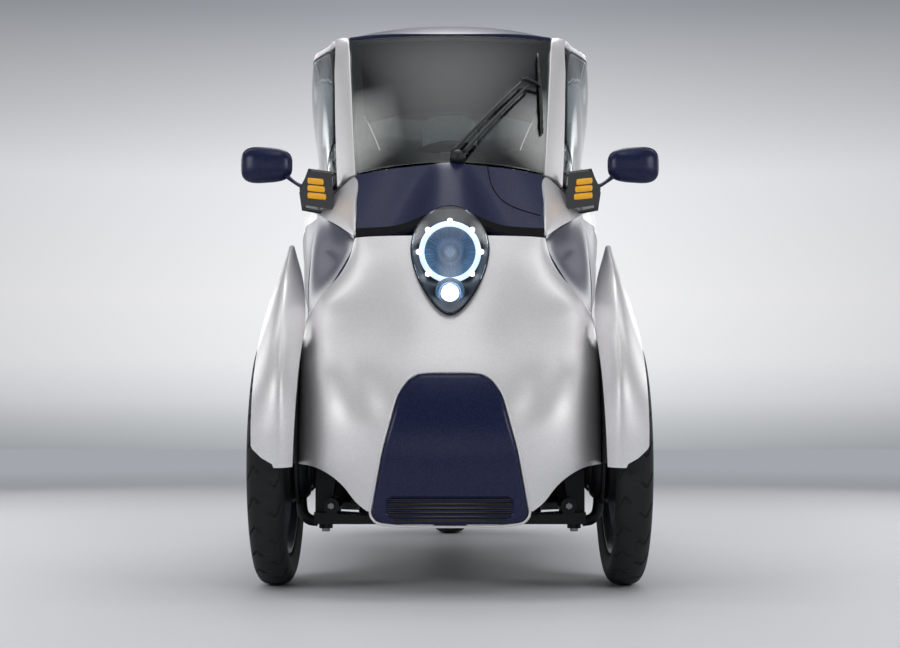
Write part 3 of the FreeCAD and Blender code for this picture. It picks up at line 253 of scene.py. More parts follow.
def at(x, s, z):
    """Points in metres from half-breadth x, distance s behind the front axle and height z in millimetres."""
    x, s, z = np.broadcast_arrays(x, s, z)
    return np.stack([x, FRONT_AXLE + s, z], -1) * MM


def smooth(t):
    """Soft step: 0 below 0, 1 above 1, and 3t^2 - 2t^3 between."""
    t = np.clip(t, 0.0, 1.0)
    return t * t * (3 - 2 * t)


def mesh_object(name, points, faces, finish, body):
    """An object of smooth faces with one material, riding on a body of the car."""
    mesh = bpy.data.meshes.new(name)
    mesh.from_pydata(np.asarray(points).reshape(-1, 3).tolist(), [], [list(map(int, f)) for f in faces])
    mesh.polygons.foreach_set("use_smooth", np.ones(len(mesh.polygons), bool))
    mesh.materials.append(finish)
    made = bpy.data.objects.new(name, mesh)
    bpy.context.scene.collection.objects.link(made)
    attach(made, body)
    return made


def grid_faces(columns, rows, around=False, closed=False):
    """Quads of a grid of points; around joins its last column to the first, closed its last row to the
    first."""
    i, j = np.meshgrid(np.arange(columns - (not around)), np.arange(rows - (not closed)), indexing="ij")
    i2, j2 = (i + 1) % columns, (j + 1) % rows
    return np.stack([i * rows + j, i2 * rows + j, i2 * rows + j2, i * rows + j2], -1).reshape(-1, 4)


def both_sides(points, faces):
    """Points and faces of a piece and of its mirror image."""
    points = np.asarray(points).reshape(-1, 3)
    mirrored = [[v + len(points) for v in f[::-1]] for f in faces]
    return np.concatenate([points, points * (-1, 1, 1)]), [list(f) for f in faces] + mirrored


def trimmed(point, columns, rows, keep=None):
    """Points and faces of a grid over the surface point(a, b), cut where keep changes sign. Grid points
    within half a cell of the cut are moved onto it along the steepest way, and cells beyond it are left
    out."""
    a, b = np.meshgrid(np.linspace(0, 1, columns), np.linspace(0, 1, rows), indexing="ij")
    quads = grid_faces(columns, rows)
    if keep is None:
        return point(a, b).reshape(-1, 3), quads
    step = 0.2 / (columns - 1), 0.2 / (rows - 1)
    cell = 1 / (columns - 1), 1 / (rows - 1)
    for turn in range(4):
        value = keep(point(a, b))
        a0, a1 = np.clip(a - step[0], 0, 1), np.clip(a + step[0], 0, 1)
        b0, b1 = np.clip(b - step[1], 0, 1), np.clip(b + step[1], 0, 1)
        along_a = (keep(point(a1, b)) - keep(point(a0, b))) / (a1 - a0) * cell[0]
        along_b = (keep(point(a, b1)) - keep(point(a, b0))) / (b1 - b0) * cell[1]
        along_a[[0, -1]] = 0
        along_b[:, [0, -1]] = 0
        steep = along_a**2 + along_b**2 + 1e-12
        if turn == 0:
            near = np.abs(value) < 0.55 * np.sqrt(steep)
            side = np.where(near, 0, np.sign(value)).ravel()
        move = np.where(near, -value / steep, 0)
        a = np.clip(a + np.clip(move * along_a, -0.6, 0.6) * cell[0], 0, 1)
        b = np.clip(b + np.clip(move * along_b, -0.6, 0.6) * cell[1], 0, 1)
    points = point(a, b).reshape(-1, 3)
    corner = side[quads]
    whole = (corner.min(1) >= 0) & (corner.max(1) > 0)
    flat = (corner == 0).all(1)
    whole[flat] = keep(points[quads[flat]].mean(1)) > 0
    faces = [list(q) for q in quads[whole]]
    for k in range(4):
        half = ((corner[:, k] == 1) & (corner[:, (k + 1) % 4] == 0) & (corner[:, (k - 1) % 4] == 0)
                & (corner[:, (k + 2) % 4] == -1))
        faces += [list(q) for q in quads[half][:, [(k - 1) % 4, k, (k + 1) % 4]]]
    used = np.unique(np.concatenate([np.array(f) for f in faces]))
    number = np.zeros(len(points), int)
    number[used] = np.arange(len(used))
    return points[used], [[number[v] for v in f] for f in faces]


def panel(name, point, columns, rows, wall, finish, body, keep=None, both=False, inside=(0, 0, 0.6),
          edge=EDGE_ROUND):
    """Curved panel with a wall and rounded edges. inside is a point on the panel's inner side, both adds the
    mirror image on the car's right."""
    points, faces = trimmed(point, columns, rows, keep)
    corners = points[[f[:3] for f in faces]]
    normal = np.cross(corners[:, 1] - corners[:, 0], corners[:, 2] - corners[:, 0])
    if ((corners.mean(1) - np.array(inside)) * normal).sum() < 0:
        faces = [f[::-1] for f in faces]
    if both:
        points, faces = both_sides(points, faces)
    made = mesh_object(name, points, faces, finish, body)
    thick = made.modifiers.new("wall", "SOLIDIFY")
    thick.thickness = wall * MM
    thick.offset = -1
    round_edges(made, edge)
    return made


def round_edges(made, size, angle=35, segments=2):
    """Rounds the sharp edges of a piece and evens its shading."""
    bevel = made.modifiers.new("edges", "BEVEL")
    bevel.width = size * MM
    bevel.segments = segments
    bevel.limit_method = "ANGLE"
    bevel.angle_limit = math.radians(angle)
    shading = made.modifiers.new("shading", "WEIGHTED_NORMAL")
    shading.keep_sharp = True


widest = spline([(300, (343, 640)), (400, (353, 680)), (550, (376, 790)), (700, (389, 830)),
                 (850, (407, 850)), (1000, (422, 865)), (1150, (424, 865)), (1300, (413, 860)),
                 (1500, (381, 850)), (1700, (336, 840)), (1850, (291, 835)), (1990, (232, 830))])
belt = spline([(248, (271, 914)), (300, (283, 900)), (345, (293, 905)), (400, (303, 925)), (550, (335, 968)),
               (700, (350, 1012)), (870, (362, 1068)), (1000, (368, 1102)), (1150, (366, 1122)),
               (1300, (352, 1120)), (1500, (320, 1092)), (1700, (278, 1056)), (1850, (244, 1030)),
               (1990, (202, 1004))])
sill = spline([(300, (300, 262)), (400, (302, 240)), (700, (312, 222)), (1000, (326, 226)),
               (1150, (328, 250)), (1300, (330, 350)), (1450, (322, 475)), (1600, (302, 548)),
               (1750, (268, 570)), (1990, (176, 575))])
nose_centre = spline([(130, -278), (160, -290), (220, -301), (300, -305), (380, -293), (455, -264),
                      (520, -230), (582, -196), (640, -160), (700, -122), (772, -62)])
nose_breadth = spline([(130, 322), (265, 327), (400, 326), (500, 325), (580, 318), (620, 300), (650, 275),
                       (671, 255), (713, 228), (772, 211)])
SIDE_POWER = 2.4


def side_breadth(s, z):
    """Half-breadth of the body side at station s and height z: it falls off from the widest line by a
    power."""
    xw, zw = widest(s)
    x0, z0 = sill(s)
    x1, z1 = belt(s)
    x1, z1 = np.where(z > zw, x1, x0), np.where(z > zw, z1, z0)
    return xw - (xw - x1) * np.clip(np.abs((z - zw) / (z1 - zw)), 0, 1) ** SIDE_POWER


def nose_relief(x, z):
    """How far the nose is set back: a full cheek stands forward before each wheel, a waist lies above it, and
    a crease runs down between the cheek and the middle. Each is a bell curve, and the crease fades at its
    ends."""
    cheek = 9 * np.exp(-((x - 265) / 80) ** 2 - ((z - 400) / 110) ** 2)
    waist = 13 * np.exp(-((x - 170) / 72) ** 2 - ((z - 570) / 78) ** 2)
    line = 160 + (z - 360) * 0.33
    fade = np.clip((z - 330) / 60, 0, 1) * np.clip((640 - z) / 60, 0, 1)
    crease = 5 * np.exp(-((x - line) / 34) ** 2) * smooth(fade)
    return waist + crease - cheek


def nose_point(q, z):
    """Point of the nose at height z. |q| runs from 0 at the centre over the corner's share to 1 at the door:
    up to the corner it is a rounded quarter arch, and behind it a soft line to the door's front edge."""
    share = np.abs(q)
    centre, breadth = nose_centre(z), nose_breadth(z)
    angle = np.radians(90) * np.clip(share / CORNER_SHARE, 0, 1)
    x = breadth * np.sin(angle) ** CORNER_POWER
    full = 0.8 - 0.34 * smooth((z - 170) / 110) * smooth((600 - z) / 150)
    s = NOSE_CORNER + (centre - NOSE_CORNER) * np.clip(np.cos(angle), 0, 1) ** full
    f = np.clip((share - CORNER_SHARE) / (1 - CORNER_SHARE), 0, 1)
    rear = side_breadth(DOOR_FRONT - FRONT_GAP, z)
    s = np.where(share > CORNER_SHARE, NOSE_CORNER + (DOOR_FRONT - FRONT_GAP - NOSE_CORNER) * f, s)
    x = np.where(share > CORNER_SHARE, breadth + (rear - breadth) * smooth(f) * (0.35 + 0.65 * f), x)
    return at(np.sign(q) * x, s + nose_relief(x, z), z)


def nose_front(x, z):
    """The nose's surface at half-breadth x and height z, before its corner."""
    angle = np.arcsin(np.clip(np.abs(x) / nose_breadth(z), 0, 1) ** (1 / CORNER_POWER))
    return nose_point(np.sign(x) * CORNER_SHARE * np.degrees(angle) / 90, z)


def polygon_distance(x, z, outline, rounding=0.0):
    """Distance from points to a closed outline whose corners are rounded, negative inside it."""
    best = np.full(np.shape(x), 1e9)
    sign = np.ones(np.shape(x))
    for (ax, az), (bx, bz) in zip(outline, outline[1:] + outline[:1]):
        ex, ez = bx - ax, bz - az
        t = np.clip(((x - ax) * ex + (z - az) * ez) / (ex * ex + ez * ez), 0, 1)
        best = np.minimum(best, np.hypot(x - ax - ex * t, z - az - ez * t))
        across = (az > z) != (bz > z)
        sign = np.where(across & (x < ax + (z - az) * ex / (ez if ez else 1.0)), -sign, sign)
    return best * sign - rounding


SHIELD_HALF = [(62, 455), (86, 441), (107, 411), (123, 349), (137, 298), (153.6, 207), (162, 166), (143, 146)]
SHIELD_ROUND = 10.0
INTAKE_HALF = [(118, 203), (129, 196), (131, 168), (122, 160)]
LAMP_WIDTH = 168.0
LAMP_MIDDLE = 732.0
LAMP_UP = 104.0
LAMP_DOWN = 150.0
OPENING_EDGE = spline([(120, 132), (165, 169), (192, 190), (220, 224), (269, 258), (330, 268), (430, 268)])


def whole_outline(half, grow=0.0):
    """Closed outline of a symmetrical shape from its left half, every edge moved out by grow."""
    outline = np.array(half + [(-x, z) for x, z in reversed(half)], float)
    ahead = np.roll(outline, -1, 0) - outline
    normal = np.stack([-ahead[:, 1], ahead[:, 0]], 1) / np.linalg.norm(ahead, axis=1)[:, None]
    before = np.roll(normal, 1, 0)
    corner = (normal + before) / (1 + (normal * before).sum(1))[:, None]
    return [tuple(p) for p in outline + grow * corner]


def shield_distance(points):
    """Distance outside the shield's outline in the front view, in millimetres."""
    outline = whole_outline(SHIELD_HALF, -SHIELD_ROUND)
    return polygon_distance(points[..., 0] / MM, points[..., 2] / MM, outline, SHIELD_ROUND)


def lamp_distance(points):
    """Distance outside the lamp's drop-shaped outline: two half ellipses, the lower one drawn in to its
    tip."""
    x, z = points[..., 0] / MM, points[..., 2] / MM - LAMP_MIDDLE
    up = np.clip(z / np.where(z > 0, LAMP_UP, LAMP_DOWN), -2, 2)
    narrow = 1 - 0.30 * np.clip(-up, 0, 1) ** 1.5
    return (np.hypot(x / (LAMP_WIDTH / 2 * narrow), up) - 1) * LAMP_WIDTH / 2


def nose_keep(points):
    """Positive on the nose shell, negative in its openings: shield, lamp, flank panels and wheel tunnels."""
    x, s, z = np.abs(points[..., 0]) / MM, points[..., 1] / MM - FRONT_AXLE, points[..., 2] / MM
    flank = np.maximum(-4 - s, 655 - SEAM - (s + 4) * 0.106 - z)
    tunnel = np.where(s < 0, z - OPENING_EDGE(x), 1e3)
    arch = np.where(x > 240, np.hypot(s, z - TYRE_RADIUS) - ARCH_RADIUS, 1e3)
    behind = np.where((x > 240) & (s > -10), np.maximum(z - 270, s - 280), 1e3)
    cuts = [shield_distance(points) - SEAM, lamp_distance(points) - SEAM, flank, tunnel, arch, behind]
    return np.minimum.reduce(cuts)


def car_paint(name, colour, flake_colour, metal, rough, coat):
    """Clear-coated paint: flakes of two near shades under a smooth coat with a faint orange peel. The eye
    sees a deep, soft gloss whose colour shifts a little from point to point."""
    made, tree, shader = new_material(name, metal=metal, rough=rough, coat=coat, coat_rough=0.14,
                                      specular=0.15)
    where = add(tree, "ShaderNodeTexCoord").outputs["Object"]
    flakes = add(tree, "ShaderNodeTexVoronoi", {"Scale": 1 / (FLAKE_SIZE * MM)}, {"Vector": where})
    grey = add(tree, "ShaderNodeSeparateColor", links={0: flakes.outputs["Color"]})
    mix = add(tree, "ShaderNodeMix", {"data_type": "RGBA", 6: linear(colour), 7: linear(flake_colour)},
              {0: grey.outputs[0]})
    tree.links.new(mix.outputs[2], shader.inputs["Base Color"])
    peel = add(tree, "ShaderNodeTexNoise", {"Scale": 1 / (9 * MM), "Detail": 1.0}, {"Vector": where})
    bump = add(tree, "ShaderNodeBump", {"Strength": 0.03, "Distance": 0.4 * MM}, {"Height": peel.outputs[0]})
    tree.links.new(bump.outputs[0], shader.inputs["Coat Normal"])
    return made


def nose_skin(a, b):
    """The nose from the right door to the left one, and from the chin up to the cowl."""
    return nose_point(2 * a - 1, NOSE_BOTTOM + (NOSE_TOP - NOSE_BOTTOM) * b)


pearl_paint = car_paint("pearl_clearcoat_paint", PEARL, PEARL_FLAKE, 0.55, 0.45, 0.3)
nose = panel("nose_shell_painted", nose_skin, 181, 101, NOSE_WALL, pearl_paint, "body",
             nose_keep, edge=2.2)
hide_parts("nose_shell")

# Shield panel
# Smooth navy panel in the middle of the nose, painted over moulded plastic. Its rim is bevelled inside a thin
# pearl bead, and a slatted air intake is recessed at its foot.
NAVY = "#191E38"
NAVY_FLAKE = "#282E56"
SHIELD_WALL = 8.0
SHIELD_RIM = 7.0
INTAKE_DEPTH = 6.0
navy_paint = car_paint("navy_clearcoat_paint", NAVY, NAVY_FLAKE, 0.15, 0.38, 0.3)


def intake_distance(points):
    """Distance outside the air intake's outline in the front view, in millimetres."""
    return polygon_distance(points[..., 0] / MM, points[..., 2] / MM, whole_outline(INTAKE_HALF, -3), 3.0)


def shield_surface(a, b):
    """The nose's own surface over the shield. Its rim falls away towards the edge by a power of the distance,
    and the intake is set back behind a soft step."""
    points = nose_front((2 * a - 1) * 170.0, 138 + 322 * b)
    inside = np.clip(-shield_distance(points) / SHIELD_RIM, 0, 1)
    intake = smooth((2.0 - intake_distance(points)) / 5)
    points[..., 1] += (3.2 * (1 - inside) ** 1.5 - 0.8 + INTAKE_DEPTH * intake) * MM
    return points


def outline_points(half, grow, count):
    """Evenly spaced points along a closed outline with rounded corners: Chaikin cutting, then equal steps."""
    points = np.array(whole_outline(half, grow))
    for turn in range(3):
        ahead = np.roll(points, -1, 0)
        points = np.stack([points * 0.8 + ahead * 0.2, points * 0.2 + ahead * 0.8], 1).reshape(-1, 2)
    loop = np.concatenate([points, points[:1]])
    length = np.concatenate([[0], np.cumsum(np.linalg.norm(np.diff(loop, axis=0), axis=1))])
    steps = np.linspace(0, length[-1], count, endpoint=False)
    return np.interp(steps, length, loop[:, 0]), np.interp(steps, length, loop[:, 1])


def bead(name, centres, wide, deep, finish, body, sides=8):
    """Closed bead of elliptical section along a loop of points, wide in the front view and deep along the
    car."""
    tangent = np.roll(centres, -1, 0) - np.roll(centres, 1, 0)
    across = np.cross(tangent, (0, 1, 0))
    across /= np.linalg.norm(across, axis=1)[:, None]
    angle = np.linspace(0, 2 * np.pi, sides, endpoint=False)[None, :, None]
    ring = centres[:, None] + (wide * np.cos(angle) * across[:, None]
                               + deep * np.sin(angle) * np.array((0, 1, 0))) * MM
    faces = grid_faces(len(centres), sides, around=True, closed=True)
    a, b, c = ring.reshape(-1, 3)[faces[0][:3]]
    outwards = np.dot(np.cross(b - a, c - a), (a + c) / 2 - centres[0]) > 0
    return mesh_object(name, ring, faces if outwards else faces[:, ::-1], finish, body)


def moulded_plastic(name, colour, rough, grain=1.2, depth=0.12, metal=0.0, coat=0.0, specular=0.5):
    """Injection-moulded plastic with a fine leathery grain and slightly uneven gloss. The eye sees a dull or
    satin skin, with highlights that break up into points and soft patches."""
    made, tree, shader = new_material(name, base=linear(colour), rough=rough, metal=metal, coat=coat,
                                      specular=specular)
    where = add(tree, "ShaderNodeTexCoord").outputs["Object"]
    grains = add(tree, "ShaderNodeTexVoronoi", {"Scale": 1 / (grain * MM), "feature": "SMOOTH_F1"},
                 {"Vector": where})
    bump = add(tree, "ShaderNodeBump", {"Strength": 0.5, "Distance": depth * MM},
               {"Height": grains.outputs[0]})
    tree.links.new(bump.outputs[0], shader.inputs["Normal"])
    cloud = add(tree, "ShaderNodeTexNoise", {"Scale": 1 / (60 * MM), "Detail": 3.0}, {"Vector": where})
    gloss = add(tree, "ShaderNodeMapRange", {"To Min": rough - 0.05, "To Max": rough + 0.08},
                {"Value": cloud.outputs[0]})
    tree.links.new(gloss.outputs[0], shader.inputs["Roughness"])
    return made


shield = panel("shield_panel_painted", shield_surface, 111, 111, SHIELD_WALL, navy_paint, "body",
               lambda p: -shield_distance(p) - 0.6, edge=1.0)
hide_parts("nose_panel")
x, z = outline_points(SHIELD_HALF, 3.6, 260)
bead("shield_surround", nose_front(x, z), 2.8, 2.6, pearl_paint, "body")

# Anodised aluminium, brushed: a pale metal whose gloss comes and goes in fine streaks.
satin_trim, tree, shader = new_material("satin_anodised_trim", base=linear("#C9CACF"), metal=0.75, rough=0.34)
where = add(tree, "ShaderNodeTexCoord").outputs["Object"]
brush = add(tree, "ShaderNodeTexNoise", {"Scale": 1 / (2.5 * MM), "Detail": 2.0}, {"Vector": where})
gloss = add(tree, "ShaderNodeMapRange", {"To Min": 0.28, "To Max": 0.40}, {"Value": brush.outputs[0]})
tree.links.new(gloss.outputs[0], shader.inputs["Roughness"])
gloss_black = moulded_plastic("gloss_black_plastic", "#08090B", 0.18, grain=4.0, depth=0.02, coat=0.6)


def slats(a, b):
    """The intake's floor with level slats: a cosine of the height, set behind the shield's face."""
    points = nose_front((2 * a - 1) * 130.0, 158 + 47 * b)
    points[..., 1] += (INTAKE_DEPTH - 1.8 - 1.6 * np.cos(2 * np.pi * points[..., 2] / (9 * MM))) * MM
    return points


panel("intake_slats", slats, 61, 51, 1.0, gloss_black, "body",
      lambda p: -intake_distance(p) - 1.5, edge=0.4)
x = np.linspace(-119, 119, 60)
lip = nose_front(x, 157 - 0 * x) / MM - (0, 0.6, 0)
bead("intake_lip", np.concatenate([lip, lip[::-1] - (0, 0, 2.4)]) * MM, 1.3, 1.6, gloss_black, "body")

# Headlamp
# Drop-shaped lamp in the nose: a dark bowl, a ring of light with eight bright points round a cut crystal
# disc, a small round lamp below it, and a clear moulded cover over both.
RING_MIDDLE = 728.0
RING_STATION = -62.0
BOWL_BACK = -38.0
RING_OUTER = 68.0
RING_INNER = 56.0
POINTS = 8
SMALL_LAMP = 633.0
SMALL_STATION = -118.0
SMALL_RADIUS = 33.0
CRYSTAL_FINS = 48
lens_slope = spline([(570, -214), (640, -186), (700, -150), (760, -108), (800, -72), (845, -22)])


def lens_place(x, z, back=0.0):
    """Point of the lamp's cover, which follows the slope of the nose and bends back to its sides."""
    return at(x, lens_slope(z) + 34 * (x / 100) ** 2 + back, z)


def drop_outline(share, angle, margin=0.0):
    """Half-breadth and height on the lamp's outline, drawn in towards its middle by a share."""
    c, s = np.cos(angle), np.sin(angle)
    x = (LAMP_WIDTH / 2 + margin) * s * (1 - 0.30 * np.clip(-c, 0, 1) ** 1.5)
    z = (np.where(c > 0, LAMP_UP, LAMP_DOWN) + margin) * c
    return share * x, LAMP_MIDDLE + share * z


def turned(profile, count, middle, axis=1):
    """Points of a ring-shaped piece: (radius, offset) pairs carried round an axis through its middle."""
    angle = np.linspace(0, 2 * np.pi, count, endpoint=False)[:, None]
    r, offset = np.array(profile, float).T[:, None, :]
    parts = [None, None, None]
    parts[axis] = offset + 0 * angle
    parts[(axis + 1) % 3] = r * np.cos(angle)
    parts[(axis + 2) % 3] = r * np.sin(angle)
    return (np.stack(parts, -1) + np.array(middle)) * MM


def turned_piece(name, profile, count, middle, finish, body, axis=1):
    """A closed ring-shaped piece about an axis, its profile given in order round its section."""
    points = turned(profile, count, middle, axis)
    faces = grid_faces(count, len(profile), around=True, closed=True)
    a, b, c = points.reshape(-1, 3)[faces[0][:3]]
    middle_of_section = turned([np.mean(profile, axis=0)], count, middle, axis)[0, 0]
    outwards = np.dot(np.cross(b - a, c - a), (a + c) / 2 - middle_of_section) > 0
    return mesh_object(name, points, faces if outwards else faces[:, ::-1], finish, body)


def glowing(name, colour, strength):
    """Light-emitting plastic: a milky diffuser over small lamps, brighter than anything round it. The eye
    sees an even glow with faint cells, where each lamp shines through."""
    made, tree, shader = new_material(name, base=linear(colour), rough=0.3, glow=linear(colour),
                                      glow_strength=strength)
    where = add(tree, "ShaderNodeTexCoord").outputs["Object"]
    cells = add(tree, "ShaderNodeTexVoronoi", {"Scale": 1 / (7 * MM)}, {"Vector": where})
    ramp = add(tree, "ShaderNodeMapRange", {"From Max": 0.8, "To Min": 1.0, "To Max": 0.75},
               {"Value": cells.outputs["Distance"]})
    tone = add(tree, "ShaderNodeMix", {"data_type": "RGBA", "blend_type": "MULTIPLY", 0: 1.0,
                                       6: linear(colour)},
               {7: ramp.outputs[0]})
    tree.links.new(tone.outputs[2], shader.inputs["Emission Color"])
    return made


lamp_bowl_finish = moulded_plastic("lamp_bowl_satin_plastic", "#06080F", 0.5, grain=3.0, depth=0.05)
share, angle = np.meshgrid(np.linspace(1.0, 0.0, 24), np.linspace(0, 2 * np.pi, 96, endpoint=False))
x, z = drop_outline(share, angle, -0.5)
front = lens_slope(z) + 34 * (x / 100) ** 2 + 6
back = BOWL_BACK - 62 * smooth((672 - z) / 30)
bowl = mesh_object("lamp_bowl", at(x, front + (back - front) * (1 - share**7), z),
                   grid_faces(96, 24, around=True)[:, ::-1], lamp_bowl_finish, "body")
bowl_wall = bowl.modifiers.new("wall", "SOLIDIFY")
bowl_wall.thickness = 3 * MM
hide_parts("headlamp_housing")

led_white = glowing("led_diffuser_white", "#D9ECFF", 1.5)
led_point = glowing("led_point_white", "#F2F8FF", 4.0)
ring_middle = (0, FRONT_AXLE + RING_STATION, RING_MIDDLE)
half_ring = (RING_OUTER - RING_INNER) / 2
ring_profile = [(RING_INNER + half_ring * (1 + math.cos(t)), -half_ring * 0.8 * math.sin(t))
                for t in np.linspace(0, 2 * math.pi, 14, endpoint=False)]
turned_piece("lamp_ring", ring_profile, 128, ring_middle, led_white, "body")
points, faces = [], []
for k in range(POINTS):
    turn = 2 * math.pi * k / POINTS
    u, v = np.meshgrid(np.linspace(0, 2 * np.pi, 16, endpoint=False), np.linspace(-np.pi / 2, np.pi / 2, 9),
                       indexing="ij")
    r = (RING_OUTER + RING_INNER) / 2 + 6.0 + 6.5 * np.cos(v) * np.cos(u)
    side = 6.0 * np.cos(v) * np.sin(u)
    spot = np.stack([r * math.cos(turn) - side * math.sin(turn), -4 - 6 * np.sin(v),
                     r * math.sin(turn) + side * math.cos(turn)], -1)
    faces += [list(f + len(points) * 144) for f in grid_faces(16, 9, around=True)]
    points.append((spot + np.array(ring_middle)) * MM)
mesh_object("lamp_ring_points", np.concatenate(points), faces, led_point, "body")

crystal_glass = moulded_plastic("lamp_crystal_metallised", "#86AFD0", 0.2, grain=9.0, depth=0.3, metal=0.4)
r, turn = np.meshgrid(np.linspace(RING_INNER + 1, 0.0, 40), np.linspace(0, 2 * np.pi, 256, endpoint=False))
fins = 4.5 * np.abs(np.sin(CRYSTAL_FINS / 2 * turn)) * np.clip((r - 14) / 20, 0, 1)
dish = 16 * (1 - (r / RING_INNER) ** 2) - 9 * np.exp(-((r - 24) / 5) ** 2) - 14 * smooth((15 - r) / 4)
crystal = np.stack([r * np.cos(turn), dish + fins, r * np.sin(turn)], -1) + np.array(ring_middle)
mesh_object("lamp_crystal", crystal * MM, grid_faces(256, 40, around=True)[:, ::-1], crystal_glass, "body")

small_middle = (0, FRONT_AXLE + SMALL_STATION, SMALL_LAMP)
small_glow = glowing("small_lamp_white", "#E4F1FF", 2.2)
small_profile = [(0.01, -6), (9, -5), (16, -2), (20, 3), (20, 8), (0.01, 8)]
turned_piece("small_lamp", small_profile, 64, small_middle, small_glow, "body")
bezel_profile = [(22, 4), (24, -6), (SMALL_RADIUS - 2, -9), (SMALL_RADIUS, -4), (SMALL_RADIUS, 14), (22, 14)]
turned_piece("small_lamp_bezel", bezel_profile, 64, small_middle, crystal_glass, "body")


def clear_cover(name, tint, rough=0.0, ior=1.5, specular=0.5):
    """Clear moulded or rolled glass with a slight tint through its thickness and a faint waviness. The eye
    sees what lies behind it, and reflections that bend a little."""
    made, tree, shader = new_material(name, base=linear(tint), rough=rough, clear=1.0, ior=ior,
                                      specular=specular)
    where = add(tree, "ShaderNodeTexCoord").outputs["Object"]
    wave = add(tree, "ShaderNodeTexNoise", {"Scale": 1 / (180 * MM), "Detail": 0.0}, {"Vector": where})
    bump = add(tree, "ShaderNodeBump", {"Strength": 0.02, "Distance": 1 * MM}, {"Height": wave.outputs[0]})
    tree.links.new(bump.outputs[0], shader.inputs["Normal"])
    return made


lens_clear = clear_cover("lamp_cover_polycarbonate", "#EEF4FB", ior=1.45, specular=0.3)
cover = panel("lamp_cover", lambda a, b: lens_place((2 * a - 1) * 110, 570 + 275 * b), 61, 75, 4.0,
              lens_clear, "body", lambda p: -lamp_distance(p) - 1.0, edge=1.0)
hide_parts("headlamp_lens")

# Cowl
# Navy cover between the nose and the windscreen, with the hood that rises over the lamp and a rib up to the
# glass. A service lid on the car's left shows as a narrow groove.
COWL_WALL = 8.0
LID_LINE = [(87.6, 0.985), (91, 0.86), (96, 0.72), (109, 0.58), (130, 0.47), (165, 0.39), (206, 0.335)]


def cowl_breadth(t):
    """Half-breadth of the cowl, which widens a little on its way up to the glass."""
    return 211 + 13 * t


def cowl_point(q, t):
    """Point of the cowl: a slope up to the glass, with a bell-shaped hood that narrows and sinks on the way
    up."""
    x = q * cowl_breadth(t)
    hood = (46 * (1 - t) ** 0.8 + 6) * np.exp(-np.abs(x / (92 - 50 * t)) ** 2.6)
    s = -25 + 155 * t + (25 + 20 * t) * q * q - 0.75 * hood
    z = 768 + 188 * t - 18 * t * q * q + 0.66 * hood
    return at(x, s, z)


cowl = panel("cowl_painted", lambda a, b: cowl_point(2 * a - 1, 0.01 + 0.98 * b), 121, 61, COWL_WALL,
             navy_paint, "body", lambda p: lamp_distance(p) - SEAM, inside=(0, 0, 0.2))
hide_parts("cowl_panel")
matt_black = moulded_plastic("matt_black_plastic", "#0A0B0D", 0.7, grain=1.2, depth=0.15, specular=0.12)
# A thin matt black strip over the cowl's foot draws the dark band there: in part a real black lip, in part
# the painted shade of the gap under the cowl.
panel("cowl_front_strip", lambda a, b: cowl_point(2 * a - 1, 0.012 + 0.125 * b)
      + np.array((0, -0.8, 1.0)) * MM, 161, 13, 1.6, matt_black, "body",
      lambda p: lamp_distance(p) - 3.0, inside=(0, 0, 0.2), edge=0.5)

# Windscreen
# Laminated screen, lightly tinted, glued behind a black printed border that is wide at its foot. The border
# is a thin skin on the inner face.
GLASS_WALL = 6.0
SCREEN_BOW = 14.0
SCREEN_FOOT = 959.0
SCREEN_RISE = 383.0
SCREEN_OUT = np.array((0, -0.77, 0.64))


def screen_breadth(t):
    """Half-breadth of the windscreen, which widens towards the roof."""
    return 224 + 37 * t


def screen_point(q, t):
    """Point of the windscreen: q across, t from the cowl to the roof, bowed out between them."""
    bow = SCREEN_BOW * 4 * t * (1 - t)
    s = 130 + 320 * t + (45 + 5 * t) * q * q - 0.77 * bow
    z = SCREEN_FOOT + SCREEN_RISE * t - 21 * (1 - t) * q * q + 0.64 * bow
    return at(q * screen_breadth(t), s, z)


def screen_border(points):
    """Positive on the printed border of the windscreen."""
    x, z = np.abs(points[..., 0]) / MM, points[..., 2] / MM
    t = (z - SCREEN_FOOT) / SCREEN_RISE
    return -np.minimum.reduce([screen_breadth(t) - 30 - x, 1322 - z, z - 985 - 20 * (x / 200) ** 2])


screen_glass = clear_cover("windscreen_laminated_glass", "#C6CFCB", specular=0.3)
black_print = moulded_plastic("ceramic_print_black", "#0B0C0E", 0.35, grain=2.0, depth=0.02)
screen = panel("windscreen_glass", lambda a, b: screen_point((2 * a - 1) * 0.997, 0.004 + 0.99 * b), 61, 61,
               GLASS_WALL, screen_glass, "body", inside=(0, 0.3, 0.6), edge=1.2)
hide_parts("windscreen")
panel("windscreen_border", lambda a, b: screen_point((2 * a - 1) * 0.985, 0.01 + 0.98 * b)
      - SCREEN_OUT * 7 * MM, 81, 61, 0.6, black_print, "body", screen_border,
      inside=(0, 0.3, 0.6), edge=0.1)

# Wiper
# Black pantograph wiper on the car's left of the screen: a pivot, two parallel arms, a bridge and an upright
# blade with its rubber.
wiper_black = moulded_plastic("wiper_powder_coated_steel", "#121315", 0.42, grain=0.8, depth=0.05)
rubber = moulded_plastic("black_rubber", "#0D0D0E", 0.62, grain=1.0, depth=0.08)


